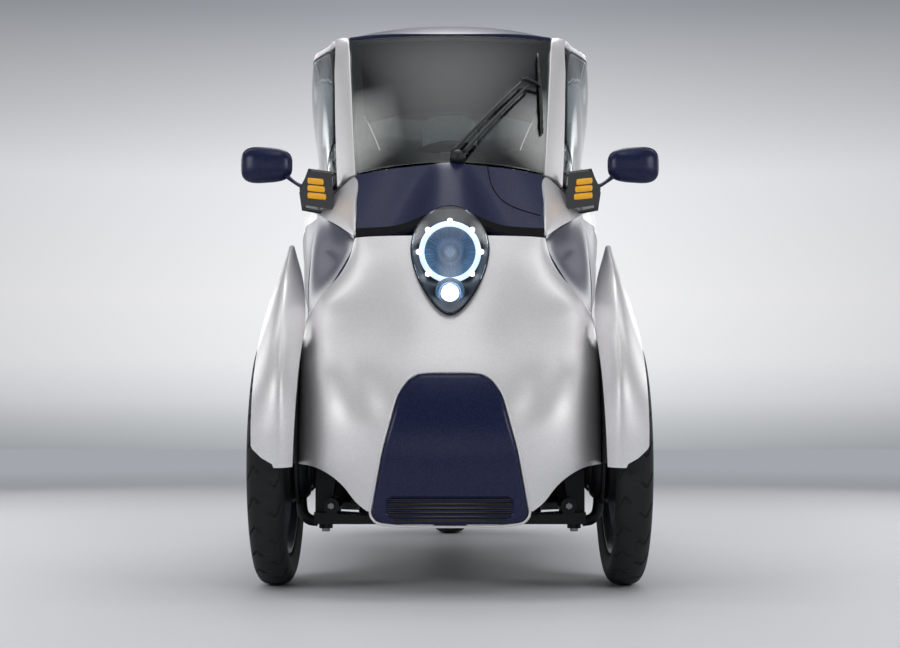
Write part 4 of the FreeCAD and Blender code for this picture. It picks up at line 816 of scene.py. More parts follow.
def tube(name, centres, radius, finish, body, sides=12, flatten=1.0, up=(0, 0, 1)):
    """A round or flattened bar that follows centre points, closed at both ends. radius may vary along it."""
    centres = np.asarray(centres, float)
    radius = np.broadcast_to(radius, len(centres))[:, None]
    tangent = np.gradient(centres, axis=0)
    tangent /= np.linalg.norm(tangent, axis=1)[:, None]
    across = np.cross(tangent, up)
    across /= np.linalg.norm(across, axis=1)[:, None]
    above = np.cross(across, tangent)
    angle = np.linspace(0, 2 * np.pi, sides, endpoint=False)[None, :, None]
    circle = np.cos(angle) * across[:, None] + flatten * np.sin(angle) * above[:, None]
    ring = centres[:, None] + radius[:, None] * circle
    points = np.concatenate([ring.reshape(-1, 3), centres[:1], centres[-1:]]) * MM
    faces = [list(f) for f in grid_faces(len(centres), sides, closed=True)]
    last = (len(centres) - 1) * sides
    faces += [[k, (k + 1) % sides, len(points) - 2] for k in range(sides)]
    faces += [[last + (k + 1) % sides, last + k, len(points) - 1] for k in range(sides)]
    return mesh_object(name, points, faces, finish, body)


lid = spline([(k, (x / cowl_breadth(t), t)) for k, (x, t) in enumerate(LID_LINE)])
q, t = lid(np.linspace(0, len(LID_LINE) - 1, 60))
tube("cowl_lid_groove", cowl_point(q, t) / MM + (0, -0.3, 0.3), 1.1, matt_black, "body",
     sides=6)


def on_screen(x, t, lift):
    """Point over the windscreen at half-breadth x, share t of its height and a lift off the glass."""
    t = np.asarray(t, float)
    return screen_point(x / screen_breadth(t), t) / MM + SCREEN_OUT * lift


pivot = tube("wiper_pivot", [on_screen(18, 0.02, h) for h in (2, 6, 16, 22, 25)], [17, 19, 16, 11, 6],
             wiper_black, "body", sides=24, up=(1, 0, 0))
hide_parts("wiper")
for k in (0, 1):
    start, end = on_screen(6 + 26 * k, 0.04, 16), on_screen(180 + 16 * k, 0.58 - 0.02 * k, 17)
    share = np.linspace(0, 1, 24)[:, None]
    arm = start + (end - start) * share + SCREEN_OUT * 3 * np.sin(np.pi * share)
    tube("wiper_arm_%d" % k, arm, 5.2 - 2.2 * share[:, 0], wiper_black, "body", flatten=0.6,
         up=SCREEN_OUT)
tube("wiper_bridge", [on_screen(174, 0.58, 17), on_screen(190, 0.588, 18), on_screen(212, 0.575, 15),
                      on_screen(222, 0.56, 12)],
     [4, 5.5, 5, 4], wiper_black, "body", up=(1, 0, 0))
blade_line = np.array([on_screen(222, t, 8.5) for t in np.linspace(0.25, 0.84, 40)])
tube("wiper_blade", blade_line, 4.2 - 2.2 * np.abs(np.linspace(-1, 1, 40)) ** 3, wiper_black, "body",
     up=(1, 0, 0))
tube("wiper_rubber", blade_line - SCREEN_OUT * 4.6, 2.2, rubber, "body", sides=8,
     up=(1, 0, 0))
for k, t in enumerate((0.31, 0.43, 0.66, 0.78)):
    tube("wiper_claw_%d" % k, [on_screen(222, t + d, 8.5 + 5 * (1 - abs(d) / 0.05))
                               for d in np.linspace(-0.05, 0.05, 9)], 2.4,
         wiper_black, "body", sides=8, up=(1, 0, 0))

# Roof rails
# White rail on each side, one curved extrusion-like moulding from the foot of the windscreen pillar over the
# roof's edge down to the tail.
RAIL_WALL = 20.0
ROOF_WALL = 22.0
ROOF_REAR = 1450.0
TAIL_STATION = 1985.0
roof_edge = spline([(490, (283, 1342)), (600, (313, 1355)), (700, (340, 1367)), (870, (384, 1385)),
                    (1000, (387, 1386)), (1150, (372, 1374)), (1300, (345, 1346)), (1500, (300, 1283)),
                    (1700, (258, 1192)), (1850, (228, 1105)), (1990, (197, 1008))])
roof_crown = spline([(452, 1345), (500, 1366), (600, 1402), (700, 1426), (800, 1440), (900, 1445),
                     (1000, 1444), (1150, 1430), (1300, 1402), (1500, 1338), (1700, 1243), (1850, 1150),
                     (1990, 1052)])
rail_width = spline([(490, 22), (560, 36), (650, 46), (1000, 52), (1500, 46), (1990, 40)])
glass_top = spline([(248, (272, 918)), (378, (287, 1100)), (508, (300, 1278)), (560, (307, 1328)),
                    (620, (320, 1350)), (700, (339, 1363)), (870, (383, 1381)), (1000, (386, 1382)),
                    (1150, (371, 1370)), (1300, (344, 1342)), (1500, (299, 1279)), (1700, (257, 1188)),
                    (1850, (227, 1101)), (1990, (196, 1004))])


def roof_point(s, q):
    """Point of the roof: q is -1 and 1 at its edges and 0 on the crown, and the arch falls off by a power."""
    x1, z1 = roof_edge(s)
    z0 = roof_crown(s)
    return at(q * x1, s, z1 + (z0 - z1) * (1 - np.abs(q) ** 2.3))


def roof_inner(s):
    """The share of the half-breadth at which the roof panel meets the rail."""
    x1 = roof_edge(s)[0]
    return (x1 - rail_width(s)) / x1


t = np.arange(6) * 0.18
pillar_in = screen_point(1 + 0.3 / 240 + 0 * t, t)
pillar_out = at(glass_top(250 + 262 * t)[0], 250 + 262 * t, glass_top(250 + 262 * t)[1])
s = 560 + (TAIL_STATION - 560) * np.arange(17) / 16
rail_in = np.concatenate([pillar_in, roof_point(s, roof_inner(s))])
rail_out = np.concatenate([pillar_out, roof_point(s, 1.0 + 0 * s)])
rail_line = spline(list(enumerate(np.concatenate([rail_in, rail_out], 1))))


def rail_point(a, b):
    """Point of the rail: b runs from its inner to its outer edge over a parabola that stands a little
    proud."""
    ends = np.stack(rail_line(a * 22), -1)
    inner, outer = ends[..., :3], ends[..., 3:]
    middle = (inner + outer) / 2 + np.array((5, -3, 6)) * MM
    b = b[..., None]
    return inner * (1 - b) ** 2 + middle * 2 * b * (1 - b) + outer * b**2


rails = panel("roof_rails_painted", rail_point, 161, 11, RAIL_WALL * 0.8, pearl_paint, "body",
              both=True, edge=3.0)
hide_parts("roof_rails")

# Roof panel
# Navy roof skin between the rails, one double-curved panel from the windscreen's head to the rear window.
def roof_surface(a, b):
    """The roof between the rails, its front edge curved with the windscreen's head."""
    q = 2 * b - 1
    front = 453 + 47 * q * q
    s = front + (ROOF_REAR - front) * a
    return roof_point(s, q * (roof_inner(s) - SEAM / 300))


roof = panel("roof_painted", roof_surface, 81, 61, ROOF_WALL * 0.7, navy_paint, "body",
             edge=3.0)
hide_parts("roof_panel")

# Rear window
# Dark curved backlight from the roof down to the tail, between the rails.
def rear_glass_surface(a, b):
    """The roof's own surface behind the panel, down to the tail."""
    s = ROOF_REAR + 2 + (TAIL_STATION - 5 - ROOF_REAR) * a
    return roof_point(s, (2 * b - 1) * (roof_inner(s) - SEAM / 200))


dark_glass = clear_cover("privacy_glass", "#23282C")
rear_window = panel("rear_window_glass", rear_glass_surface, 41, 41, GLASS_WALL, dark_glass, "body",
                    edge=1.0)
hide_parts("rear_window")

# Pillar feet
# White fairings at the feet of the windscreen pillars. Their lower edge overhangs the dark flank panel, and
# they carry the mirrors and the indicators.
foot_low = spline([(0, (216, 772)), (95, (255, 806)), (215, (305, 844)), (338, (346, 880))])
foot_high = spline([(0, (211.6, 775)), (85, (217.6, 856)), (172, (224.6, 932)), (235, (262, 915)),
                    (300, (282, 898)), (338, (290, 901))])


def foot_surface(a, b):
    """Surface from the fairing's lower edge up to the pillar, slightly crowned between them."""
    s = 6 + 328 * a
    x0, z0 = foot_low(s)
    x1, z1 = foot_high(s)
    return at(x0 + (x1 - x0) * b, s, z0 + (z1 - z0) * b + 22 * b * (1 - b))


feet = panel("pillar_feet_painted", foot_surface, 61, 15, 7.0, pearl_paint, "body", both=True,
             inside=(0, -0.3, 0.5), edge=2.5)
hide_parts("pillar_feet")

# Flank panels
# Navy panels between the nose, the pillar's foot and the door, one smooth curved patch a side.
def flank_surface(a, b):
    """Quadratic curve from the nose's upper edge, through the shoulder, to under the pillar's foot."""
    low = nose_point(0.6015 + 0.3985 * a, 656.5 - 38 * a)
    middle = nose_point(0.6015 + 0.3985 * a, 740 + 0 * a)
    s = np.maximum(low[..., 1] / MM - FRONT_AXLE, 4)
    x, z = foot_low(s)
    high = at(x - 18 * a - 3, s, z - 9)
    b = b[..., None]
    return low * (1 - b) * (1 - 2 * b) + middle * 4 * b * (1 - b) + high * b * (2 * b - 1)


flanks = panel("flank_panels_painted", flank_surface, 61, 31, 7.0, navy_paint, "body",
               both=True, edge=2.0)
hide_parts("flank_panels")

# Indicators
# Black wedge-shaped pods beside the pillars' feet, each with three amber bars on its front face.
POD_START = 178.0
POD_END = 236.0
POD_FRONT = [(278, 862), (344, 872), (350, 905), (330, 944), (284, 938)]
POD_REAR = [(272, 852), (350, 866), (356, 905), (336, 958), (276, 950)]
amber = glowing("amber_indicator_lens", "#E0A01E", 0.45)


def faceted(name, front, rear, finish, body):
    """A pod between two outlines, and its mirror image: its corners are joined and both ends are closed."""
    outline = np.array([front, rear], float)
    sides = len(front)
    faces = [list(f[::-1]) for f in grid_faces(2, sides, closed=True)]
    faces += [list(range(sides)), list(range(2 * sides - 1, sides - 1, -1))]
    stations = np.array([[POD_START], [POD_END]])
    points, faces = both_sides(at(outline[..., 0], stations, outline[..., 1]), faces)
    return mesh_object(name, points, faces, finish, body)


pods = faceted("indicator_pods", POD_FRONT, POD_REAR, gloss_black, "body")
round_edges(pods, 5.0, angle=20, segments=4)
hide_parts("indicators")
bars, faces = [], []
for side in (1, -1):
    for k in range(3):
        middle = np.array((side * (314 + 1.5 * k), POD_START - 1.5, 888 + 17.5 * k))
        u, v = np.meshgrid(np.linspace(0, 2 * np.pi, 24, endpoint=False), np.linspace(0, 1, 5), indexing="ij")
        wide = 22 - 1.5 * k
        edge_shape = np.maximum(np.abs(np.cos(u)), np.abs(np.sin(u))) ** -0.8
        x = wide * np.cos(u) * edge_shape * np.sqrt(1 - (1 - v) ** 4)
        z = 7.2 * np.sin(u) * edge_shape * np.sqrt(1 - (1 - v) ** 4) + 0.10 * side * x
        y = -3.0 * (1 - v) ** 2 + 0 * u
        bar = np.stack([x, y, z], -1) + middle
        faces += [list(f) for f in grid_faces(24, 5, around=True) + len(bars) * u.size]
        bars.append(at(bar[..., 0], bar[..., 1], bar[..., 2]))
mesh_object("indicator_bars", np.concatenate(bars), faces, amber, "body")

# Mirrors
# Navy egg-shaped housings on thin stalks, with the glass set in their rear faces.
MIRROR_MIDDLE = (441.0, 250.0, 974.0)
MIRROR_HALF = (62.0, 24.0, 43.0)

# Silvered glass: a flawless reflection, a little cooler than what it shows.
mirror_glass, tree, shader = new_material("silvered_mirror_glass", base=linear("#D7DDE2"), metal=1.0,
                                          rough=0.03)


def housing_points(u, v):
    """Squared-off ball, flat behind: a superellipsoid whose rear half is cut short for the glass."""
    wide, deep, tall = MIRROR_HALF
    cu, su, cv, sv = np.cos(u), np.sin(u), np.cos(v), np.sin(v)
    power = 0.62
    ring = np.abs(cv) ** 0.75
    x = wide * np.sign(cu) * np.abs(cu) ** power * ring
    z = tall * np.sign(su) * np.abs(su) ** power * ring
    z = z * (1 + 0.10 * x / wide)
    y = np.where(sv > 0, -deep * sv, -deep * 0.9 * sv)
    return at(MIRROR_MIDDLE[0] + x, MIRROR_MIDDLE[1] + y, MIRROR_MIDDLE[2] + z)


u, v = np.meshgrid(np.linspace(0, 2 * np.pi, 64, endpoint=False),
                   np.linspace(np.pi / 2, -np.pi / 2 * 0.62, 24), indexing="ij")
shell_points = housing_points(u, v)
ring_in = np.linspace(1, 0.93, 3)[1:]
middle = np.array((MIRROR_MIDDLE[0], FRONT_AXLE + MIRROR_MIDDLE[1], MIRROR_MIDDLE[2])) * MM
last = shell_points[:, -1:]
lip = np.concatenate([middle + (last - middle) * (k, 1, k) for k in ring_in], 1)
seat = lip[:, -1:] + np.array((0, -4, 0)) * MM
sunk = np.concatenate([seat, middle * (1, 0, 1) + seat * (0, 1, 0)], 1)
housing = np.concatenate([shell_points, lip, sunk], 1)
points, faces = both_sides(housing, grid_faces(64, housing.shape[1], around=True))
mirrors = mesh_object("mirror_housings", points, faces, navy_paint, "body")
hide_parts("mirrors")
glass_ring = lip[:, -1:] + np.array((0, -2.0, 0)) * MM
glass_points = np.concatenate([middle * (1, 0, 1) + glass_ring * (0, 1, 0) + (glass_ring - middle) * (k, 0, k)
                               for k in (0.985, 0.5, 0.0)], 1)
points, faces = both_sides(glass_points, grid_faces(64, 3, around=True))
mesh_object("mirror_glass", points, faces, mirror_glass, "body")
share = np.linspace(0, 1, 20)
stalk_line = np.stack([345 + 52 * share, FRONT_AXLE + 212 + 38 * share, 915 + 36 * share**1.4], -1)
for side, name in ((1, "left"), (-1, "right")):
    tube("mirror_stalk_" + name, stalk_line * (side, 1, 1), 8.5 - 3 * np.sin(np.pi * share), navy_paint,
         "body", sides=20, flatten=0.75)

# Doors
# Pearl doors from the sill to the belt line, each one curved shell as thick as the real door, with a navy
# sweep let in at the front, a black waist seal and a flush handle.
DOOR_REAR = 1150.0
DOOR_WALL = 42.0
SHUT_GAP = 5.5
GLASS_BOW = 14.0
GLASS_DROP = 14.0
SWEEP_REAR = 940.0
HANDLE = (1050.0, 985.0)
sweep_middle = spline([(345, 742), (500, 768), (700, 816), (940, 872)])
sweep_half = spline([(345, 128), (500, 96), (700, 56), (900, 12), (940, 2)])


def side_point(s, v):
    """Point of the body side: v is -1 at the sill, 0 at the widest line and 1 at the belt."""
    xw, zw = widest(s)
    x0, z0 = sill(s)
    x1, z1 = belt(s)
    x1, z1 = np.where(v > 0, x1, x0), np.where(v > 0, z1, z0)
    return at(xw - (xw - x1) * np.abs(v) ** SIDE_POWER, s, zw + (z1 - zw) * np.abs(v))


def glass_point(s, v):
    """Point of the side window zone: v is 0 at the belt and 1 under the roof, bowed outwards between."""
    x0, z0 = belt(s)
    x1, z1 = glass_top(s)
    bow = GLASS_BOW * np.clip((z1 - z0) / 120, 0, 1)
    return at(x0 + (x1 - x0) * v + bow * 4 * v * (1 - v), s, z0 + (z1 - z0) * v)


def on_side(s, z, lift):
    """Point of the body side at a station and height, lifted outwards."""
    return at(side_breadth(s, z) + lift, s, z)


def window_point(s0, s1, low_gap, top_gap):
    """Surface of a side window between two stations, set back from the belt and from the roof by the gaps."""
    def surface(a, b):
        s = s0 + (s1 - s0) * a
        height = glass_top(s)[1] - belt(s)[1]
        low, high = low_gap / height, 1 - top_gap / height
        return glass_point(s, low + (high - low) * b)
    return surface


def door_skin(a, b):
    """The body side between the door's front and rear edges."""
    return side_point(DOOR_FRONT + (DOOR_REAR - DOOR_FRONT) * a, 2 * b - 1)


def door_sweep(a, b):
    """Leaf-shaped patch on the door that narrows to its rear point."""
    s = 346 + (SWEEP_REAR - 346) * a
    return on_side(s, sweep_middle(s) + (2 * b - 1) * sweep_half(s), 1.0)


def door_card(a, b):
    """The door's inner trim: the side set inwards by the door's thickness, with an armrest that swells along
    it."""
    s, v = DOOR_FRONT + 30 + (DOOR_REAR - DOOR_FRONT - 60) * a, 1.86 * b - 0.93
    points = side_point(s, v)
    z = points[..., 2] / MM
    rest = 16 * np.exp(-((z - 700) / 34) ** 4) * smooth((s - 470) / 60) * smooth((1000 - s) / 60)
    return points - np.stack([DOOR_WALL - 1.5 + rest, 0 * z, 0 * z], -1) * MM


def handle_pad(a, b):
    """Low pad over the side panel, crowned in both directions."""
    s, z = HANDLE[0] + 75 * (2 * a - 1), HANDLE[1] + 17 * (2 * b - 1)
    return on_side(s, z, 1.0 + 3.5 * (1 - (2 * a - 1) ** 4) * (1 - (2 * b - 1) ** 4))


door_glass_surface = window_point(DOOR_FRONT + 4, DOOR_REAR, 1.0, GLASS_DROP)
side_glass_finish = clear_cover("side_glass_tempered", "#E0E9EB")
trim_plastic = moulded_plastic("grained_trim_plastic", "#44474D", 0.58, grain=1.8, depth=0.22)
for side, name in ((1, "left"), (-1, "right")):
    body = "door_" + name
    skin = panel("door_%s_painted" % name, lambda a, b: door_skin(a, b) * (side, 1, 1), 71, 51, DOOR_WALL - 2,
                 pearl_paint, body, edge=3.0)
    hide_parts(body)
    panel("door_card_" + name, lambda a, b: door_card(a, b) * (side, 1, 1), 61, 61, 1.4, trim_plastic, body,
          inside=(side * 0.6, 0, 0.7), edge=0.4)
    panel("door_sweep_" + name, lambda a, b: door_sweep(a, b) * (side, 1, 1), 81, 21, 2.0, navy_paint, body,
          edge=0.8)
    panel("door_handle_" + name, lambda a, b: handle_pad(a, b) * (side, 1, 1), 41, 15, 3.0, gloss_black, body,
          edge=1.0)
    pane = panel("door_pane_" + name, lambda a, b: door_glass_surface(a, b) * (side, 1, 1), 61, 31,
                 GLASS_WALL, side_glass_finish, body, edge=1.0)
    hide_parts("door_glass_" + name)
    s = np.linspace(DOOR_FRONT + 10, DOOR_REAR - 6, 60)
    waist = np.stack([belt(s)[0] + 1.0, FRONT_AXLE + s, belt(s)[1] + 2.0], -1) * (side, 1, 1)
    tube("door_waist_seal_" + name, waist, 5.0, rubber, body, sides=10)
    edge_line = door_glass_surface(np.linspace(0.0, 1.0, 60), np.ones(60)) / MM * (side, 1, 1)
    tube("door_glass_seal_" + name, edge_line + np.array((-side * 3, 0, 0)), 4.0, rubber, body,
         sides=8)

# Quarter panels
# White body sides behind the doors, down to the tail and cut up over the rear wheel.
QUARTER_FRONT = DOOR_REAR + SHUT_GAP


def quarter_skin(a, b):
    """The body side from the door's rear edge to the tail."""
    return side_point(QUARTER_FRONT + (TAIL_STATION - QUARTER_FRONT) * a, 2 * b - 1)


quarters = panel("quarter_panels_painted", quarter_skin, 71, 51, 20.0, pearl_paint, "body",
                 both=True, edge=3.0)
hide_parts("quarter_panel_left", "quarter_panel_right")

# Fixed side glass
# A small pane between pillar and door, and the long dark pane that tapers back beside the passenger.
def front_pane_surface(a, b):
    """The window zone before the door, a little short of belt and roof."""
    return glass_point(262 + (DOOR_FRONT - 266) * a, 0.03 + 0.94 * b)


front_pane = panel("quarter_glass_front", front_pane_surface, 21, 21, GLASS_WALL, side_glass_finish, "body",
                   both=True, edge=0.8)
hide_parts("side_glass")
panel("quarter_glass_rear", window_point(QUARTER_FRONT, TAIL_STATION - 30, 0.8, 3.0), 61, 21, GLASS_WALL,
      dark_glass, "body", both=True, edge=0.8)

# Tail
# White rounded tail panel with an upright red lamp at each corner and a black lower bumper.
TAIL_LAMP = [(150, 780), (196, 790), (214, 900), (196, 940), (168, 925)]
TAIL_LOW = 575.0
TAIL_EDGE = 1990.0


def tail_half(z):
    """Half-breadth of the tail at a height, level above the belt."""
    return side_breadth(TAIL_EDGE + 0 * z, np.minimum(z, 1003))


def tail_top(q):
    """Height of the tail's upper edge, just under the roof's surface."""
    return roof_point(TAIL_EDGE + 0 * q, q)[..., 2] / MM - 4


def tail_point(a, b):
    """Point of the tail: rounded across by a power and gently crowned up and down."""
    q = 2 * a - 1
    z = TAIL_LOW + (tail_top(q) - TAIL_LOW) * b
    bulge = 57 * (1 - np.abs(q) ** 2.6) * (1 - 0.35 * ((z - 760) / 260) ** 2)
    return at(tail_half(z) * q, TAIL_EDGE - 2 + bulge, z)


def tail_lamp_distance(points):
    """Distance outside the outlines of the two tail lamps."""
    return polygon_distance(np.abs(points[..., 0]) / MM, points[..., 2] / MM, TAIL_LAMP)


tail = panel("tail_painted", tail_point, 91, 45, 8.0, pearl_paint, "body",
             lambda p: tail_lamp_distance(p) - SEAM, inside=(0, 0.5, 0.7), edge=2.0)
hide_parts("tail_panel")

# Red acrylic over a prismatic inner face: deep red with level ribs of light, and a faint painted red glow
# that the stop lamp and the reflectors, which hold no lamp, share.
red_lens_painted_glow, tree, shader = new_material("red_lamp_acrylic", base=linear("#8E0B10"), rough=0.08, coat=1.0,
                                      glow=linear("#C2101A"), glow_strength=0.12)
where = add(tree, "ShaderNodeTexCoord").outputs["Object"]
ribs = add(tree, "ShaderNodeTexWave", {"Scale": 1 / (28 * MM), "bands_direction": "Z", "wave_profile": "SIN"},
           {"Vector": where})
bump = add(tree, "ShaderNodeBump", {"Strength": 0.5, "Distance": 1.5 * MM}, {"Height": ribs.outputs["Fac"]})
tree.links.new(bump.outputs[0], shader.inputs["Normal"])
lamps = panel("tail_lamp_lenses", lambda a, b: tail_point(a, b) + np.array((0, 3, 0)) * MM, 181, 91, 10.0,
              red_lens_painted_glow, "body", lambda p: -tail_lamp_distance(p), inside=(0, 0.5, 0.7), edge=2.0)
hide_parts("tail_lamps")

# Rear valance and plate place
# Black grained valance along the tail's foot with a reflector at each side, a blank pale plate on its holder
# and a slim high stop lamp under the rear window.
def tail_place(x, z, lift):
    """Point of the tail at half-breadth x and height z, lifted rearwards."""
    q = x / tail_half(z)
    share = (z - TAIL_LOW) / (tail_top(q) - TAIL_LOW)
    return tail_point((q + 1) / 2, share) + np.array((0, 1, 0)) * lift * MM


black_grain = moulded_plastic("black_grained_polypropylene", "#1B1C1F", 0.62, grain=1.6, depth=0.25)
plate_white = moulded_plastic("painted_plate_aluminium", "#D9DADB", 0.38, grain=6.0, depth=0.02)
panel("tail_valance", lambda a, b: tail_place(-172 + 344 * a, 577 + (44 + 10 * (2 * a - 1) ** 2) * b, 2.5),
      81, 13, 2.4, black_grain, "body", inside=(0, 0.5, 0.7), edge=1.0)
panel("plate_holder", lambda a, b: tail_place(-112 + 224 * a, 636 + 96 * b, 3.0), 31, 15, 3.0, black_grain,
      "body", inside=(0, 0.5, 0.7), edge=1.5)
panel("plate_blank", lambda a, b: tail_place(-106 + 212 * a, 641 + 86 * b, 4.4), 31, 15, 1.2, plate_white,
      "body", inside=(0, 0.5, 0.7), edge=0.5)
panel("high_stop_lamp", lambda a, b: tail_place(-74 + 148 * a, 992 + 13 * b, 2.4), 31, 5, 2.2, red_lens_painted_glow,
      "body", inside=(0, 0.5, 0.7), edge=0.8)
# The reflectors take the red lens with its painted glow.
panel("tail_reflectors", lambda a, b: tail_place(112 + 44 * a, 590 + 20 * b, 4.0), 15, 7, 1.4, red_lens_painted_glow,
      "body", both=True, inside=(0, 0.5, 0.7), edge=0.5)

# Fenders
# White arched wings over the front wheels. A soft ridge runs up the middle of each, the outer face is drawn
# in below it, and the lower front corner is swept away outwards.
FENDER_WALL = 4.0
FENDER_MIDDLE = 381.0
fender_ridge = spline([(0, (-297, 262)), (0.14, (-303, 350)), (0.28, (-286, 450)), (0.44, (-216, 560)),
                       (0.6, (-100, 650)), (0.8, (90, 722)), (1, (300, 786))])
fender_inner = spline([(0, 322), (0.3, 316), (0.6, 316), (0.8, 338), (1, 378)])
fender_outer = spline([(0, 406), (0.14, 408), (0.28, 408), (0.44, 406), (0.6, 402), (0.8, 397), (1, 391)])
fender_top = spline([(0, 350), (0.4, 352), (1, 384)])
fender_drop = spline([(0, 19.4), (0.14, 27.2), (0.3, 46), (0.6, 62), (0.85, 34), (1, 4)])
FENDER_CORNER = [(430, 330), (412, 318), (404, 300), (384, 282), (362, 270), (348, 240), (480, 240),
                 (480, 330)]


def fender_point(a, b):
    """Point of the fender: a runs up the ridge, b across it, and each side falls off the ridge by a power."""
    s, z = fender_ridge(a)
    s0, z0 = fender_ridge(np.maximum(0, a - 0.02))
    s1, z1 = fender_ridge(np.minimum(1, a + 0.02))
    length = np.hypot(s1 - s0, z1 - z0)
    out_s, out_z = -(z1 - z0) / length, (s1 - s0) / length
    x0, x1, top = fender_inner(a), fender_outer(a), fender_top(a)
    x = x0 + (x1 - x0) * b
    share = np.where(x < top, (top - x) / (top - x0), (x - top) / (x1 - top))
    drop = fender_drop(a) * share**1.7
    return at(x + TRACK / 2 - FENDER_MIDDLE, s - out_s * drop, z - out_z * drop)


def fender_keep(points):
    """Positive on the fender, negative beyond the cut of its lower outer corner."""
    return polygon_distance(points[..., 0] / MM - TRACK / 2 + FENDER_MIDDLE, points[..., 2] / MM,
                            FENDER_CORNER)


for side, name in ((1, "left"), (-1, "right")):
    wing = panel("fender_%s_painted" % name, lambda a, b: fender_point(a, b) * (side, 1, 1), 161, 41,
                 FENDER_WALL, pearl_paint, "body", lambda p: fender_keep(p * (side, 1, 1)),
                 inside=(side * 0.37, FRONT_AXLE * MM, 0.275), edge=1.6)
    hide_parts("fender_" + name)

# Seats
# Two seats in tandem. Each has a foam cushion and back in grey woven cloth with sewn channels, and the
# driver's has a headrest on two steel posts. The pads are blown up as cloth, then kept inside their frames.
SEAT_VOXEL = 10.0
SEAM_WIDTH = 4.5
SWELL_TIME = 20
FRONT_RECLINE = -8
REAR_RECLINE = -12
THREAD = 2.6
seat_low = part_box("front_seat")[0][2] / MM
rear_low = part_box("rear_seat")[0][2] / MM


def woven_cloth(name, dark, light):
    """Woven polyester: two crossed sets of threads, drawn at 2.6 mm because real 0.5 mm threads would not
    show. The eye sees a matt heathered grey with a soft sheen at the edges."""
    made, tree, shader = new_material(name, rough=0.86, sheen=0.35, sheen_rough=0.5, specular=0.2)
    where = add(tree, "ShaderNodeTexCoord").outputs["Object"]
    threads = {"Scale": 0.314 / (THREAD * MM), "Distortion": 0.6, "Detail": 1.0}
    warp, weft = (add(tree, "ShaderNodeTexWave", {**threads, "bands_direction": axis}, {"Vector": where})
                  for axis in ("X", "DIAGONAL"))
    weave = add(tree, "ShaderNodeMath", {"operation": "MULTIPLY"},
                {0: warp.outputs["Fac"], 1: weft.outputs["Fac"]})
    heather = add(tree, "ShaderNodeTexNoise", {"Scale": 1 / (7 * MM), "Detail": 4.0}, {"Vector": where})
    shade = add(tree, "ShaderNodeMath", {"operation": "MULTIPLY_ADD", 1: 0.5},
                {0: weave.outputs[0], 2: heather.outputs[0]})
    tone = add(tree, "ShaderNodeMix", {"data_type": "RGBA", 6: linear(dark), 7: linear(light)},
               {0: shade.outputs[0]})
    tree.links.new(tone.outputs[2], shader.inputs["Base Color"])
    bump = add(tree, "ShaderNodeBump", {"Strength": 0.6, "Distance": 0.5 * MM}, {"Height": weave.outputs[0]})
    tree.links.new(bump.outputs[0], shader.inputs["Normal"])
    return made


seat_cloth = woven_cloth("woven_polyester_grey", "#666B72", "#A6ABB2")
# The headrest wears a paler copy of the seat cloth: painted light that stands in for the light on the
# headrest.
headrest_painted_light_cloth = woven_cloth("woven_polyester_painted_light", "#A9AFB6", "#D6DADF")


def evaluated(made):
    """The piece's mesh with its modifiers applied."""
    return bpy.data.meshes.new_from_object(made.evaluated_get(bpy.context.evaluated_depsgraph_get()))


def places(mesh):
    """Coordinates of a mesh's points in millimetres."""
    flat = np.empty(len(mesh.vertices) * 3, np.float32)
    mesh.vertices.foreach_get("co", flat)
    return flat.reshape(-1, 3).astype(float) / MM


def put_places(mesh, points):
    """Writes points given in millimetres into a mesh."""
    mesh.vertices.foreach_set("co", (points * MM).astype(np.float32).ravel())
    mesh.update()


def leaned(points, pivot, tilt):
    """Points turned about the level line across the car through pivot, by tilt degrees."""
    c, d = math.cos(math.radians(tilt)), math.sin(math.radians(tilt))
    x, y, z = (points - pivot).T
    return np.stack([x, c * y - d * z, d * y + c * z], -1) + pivot


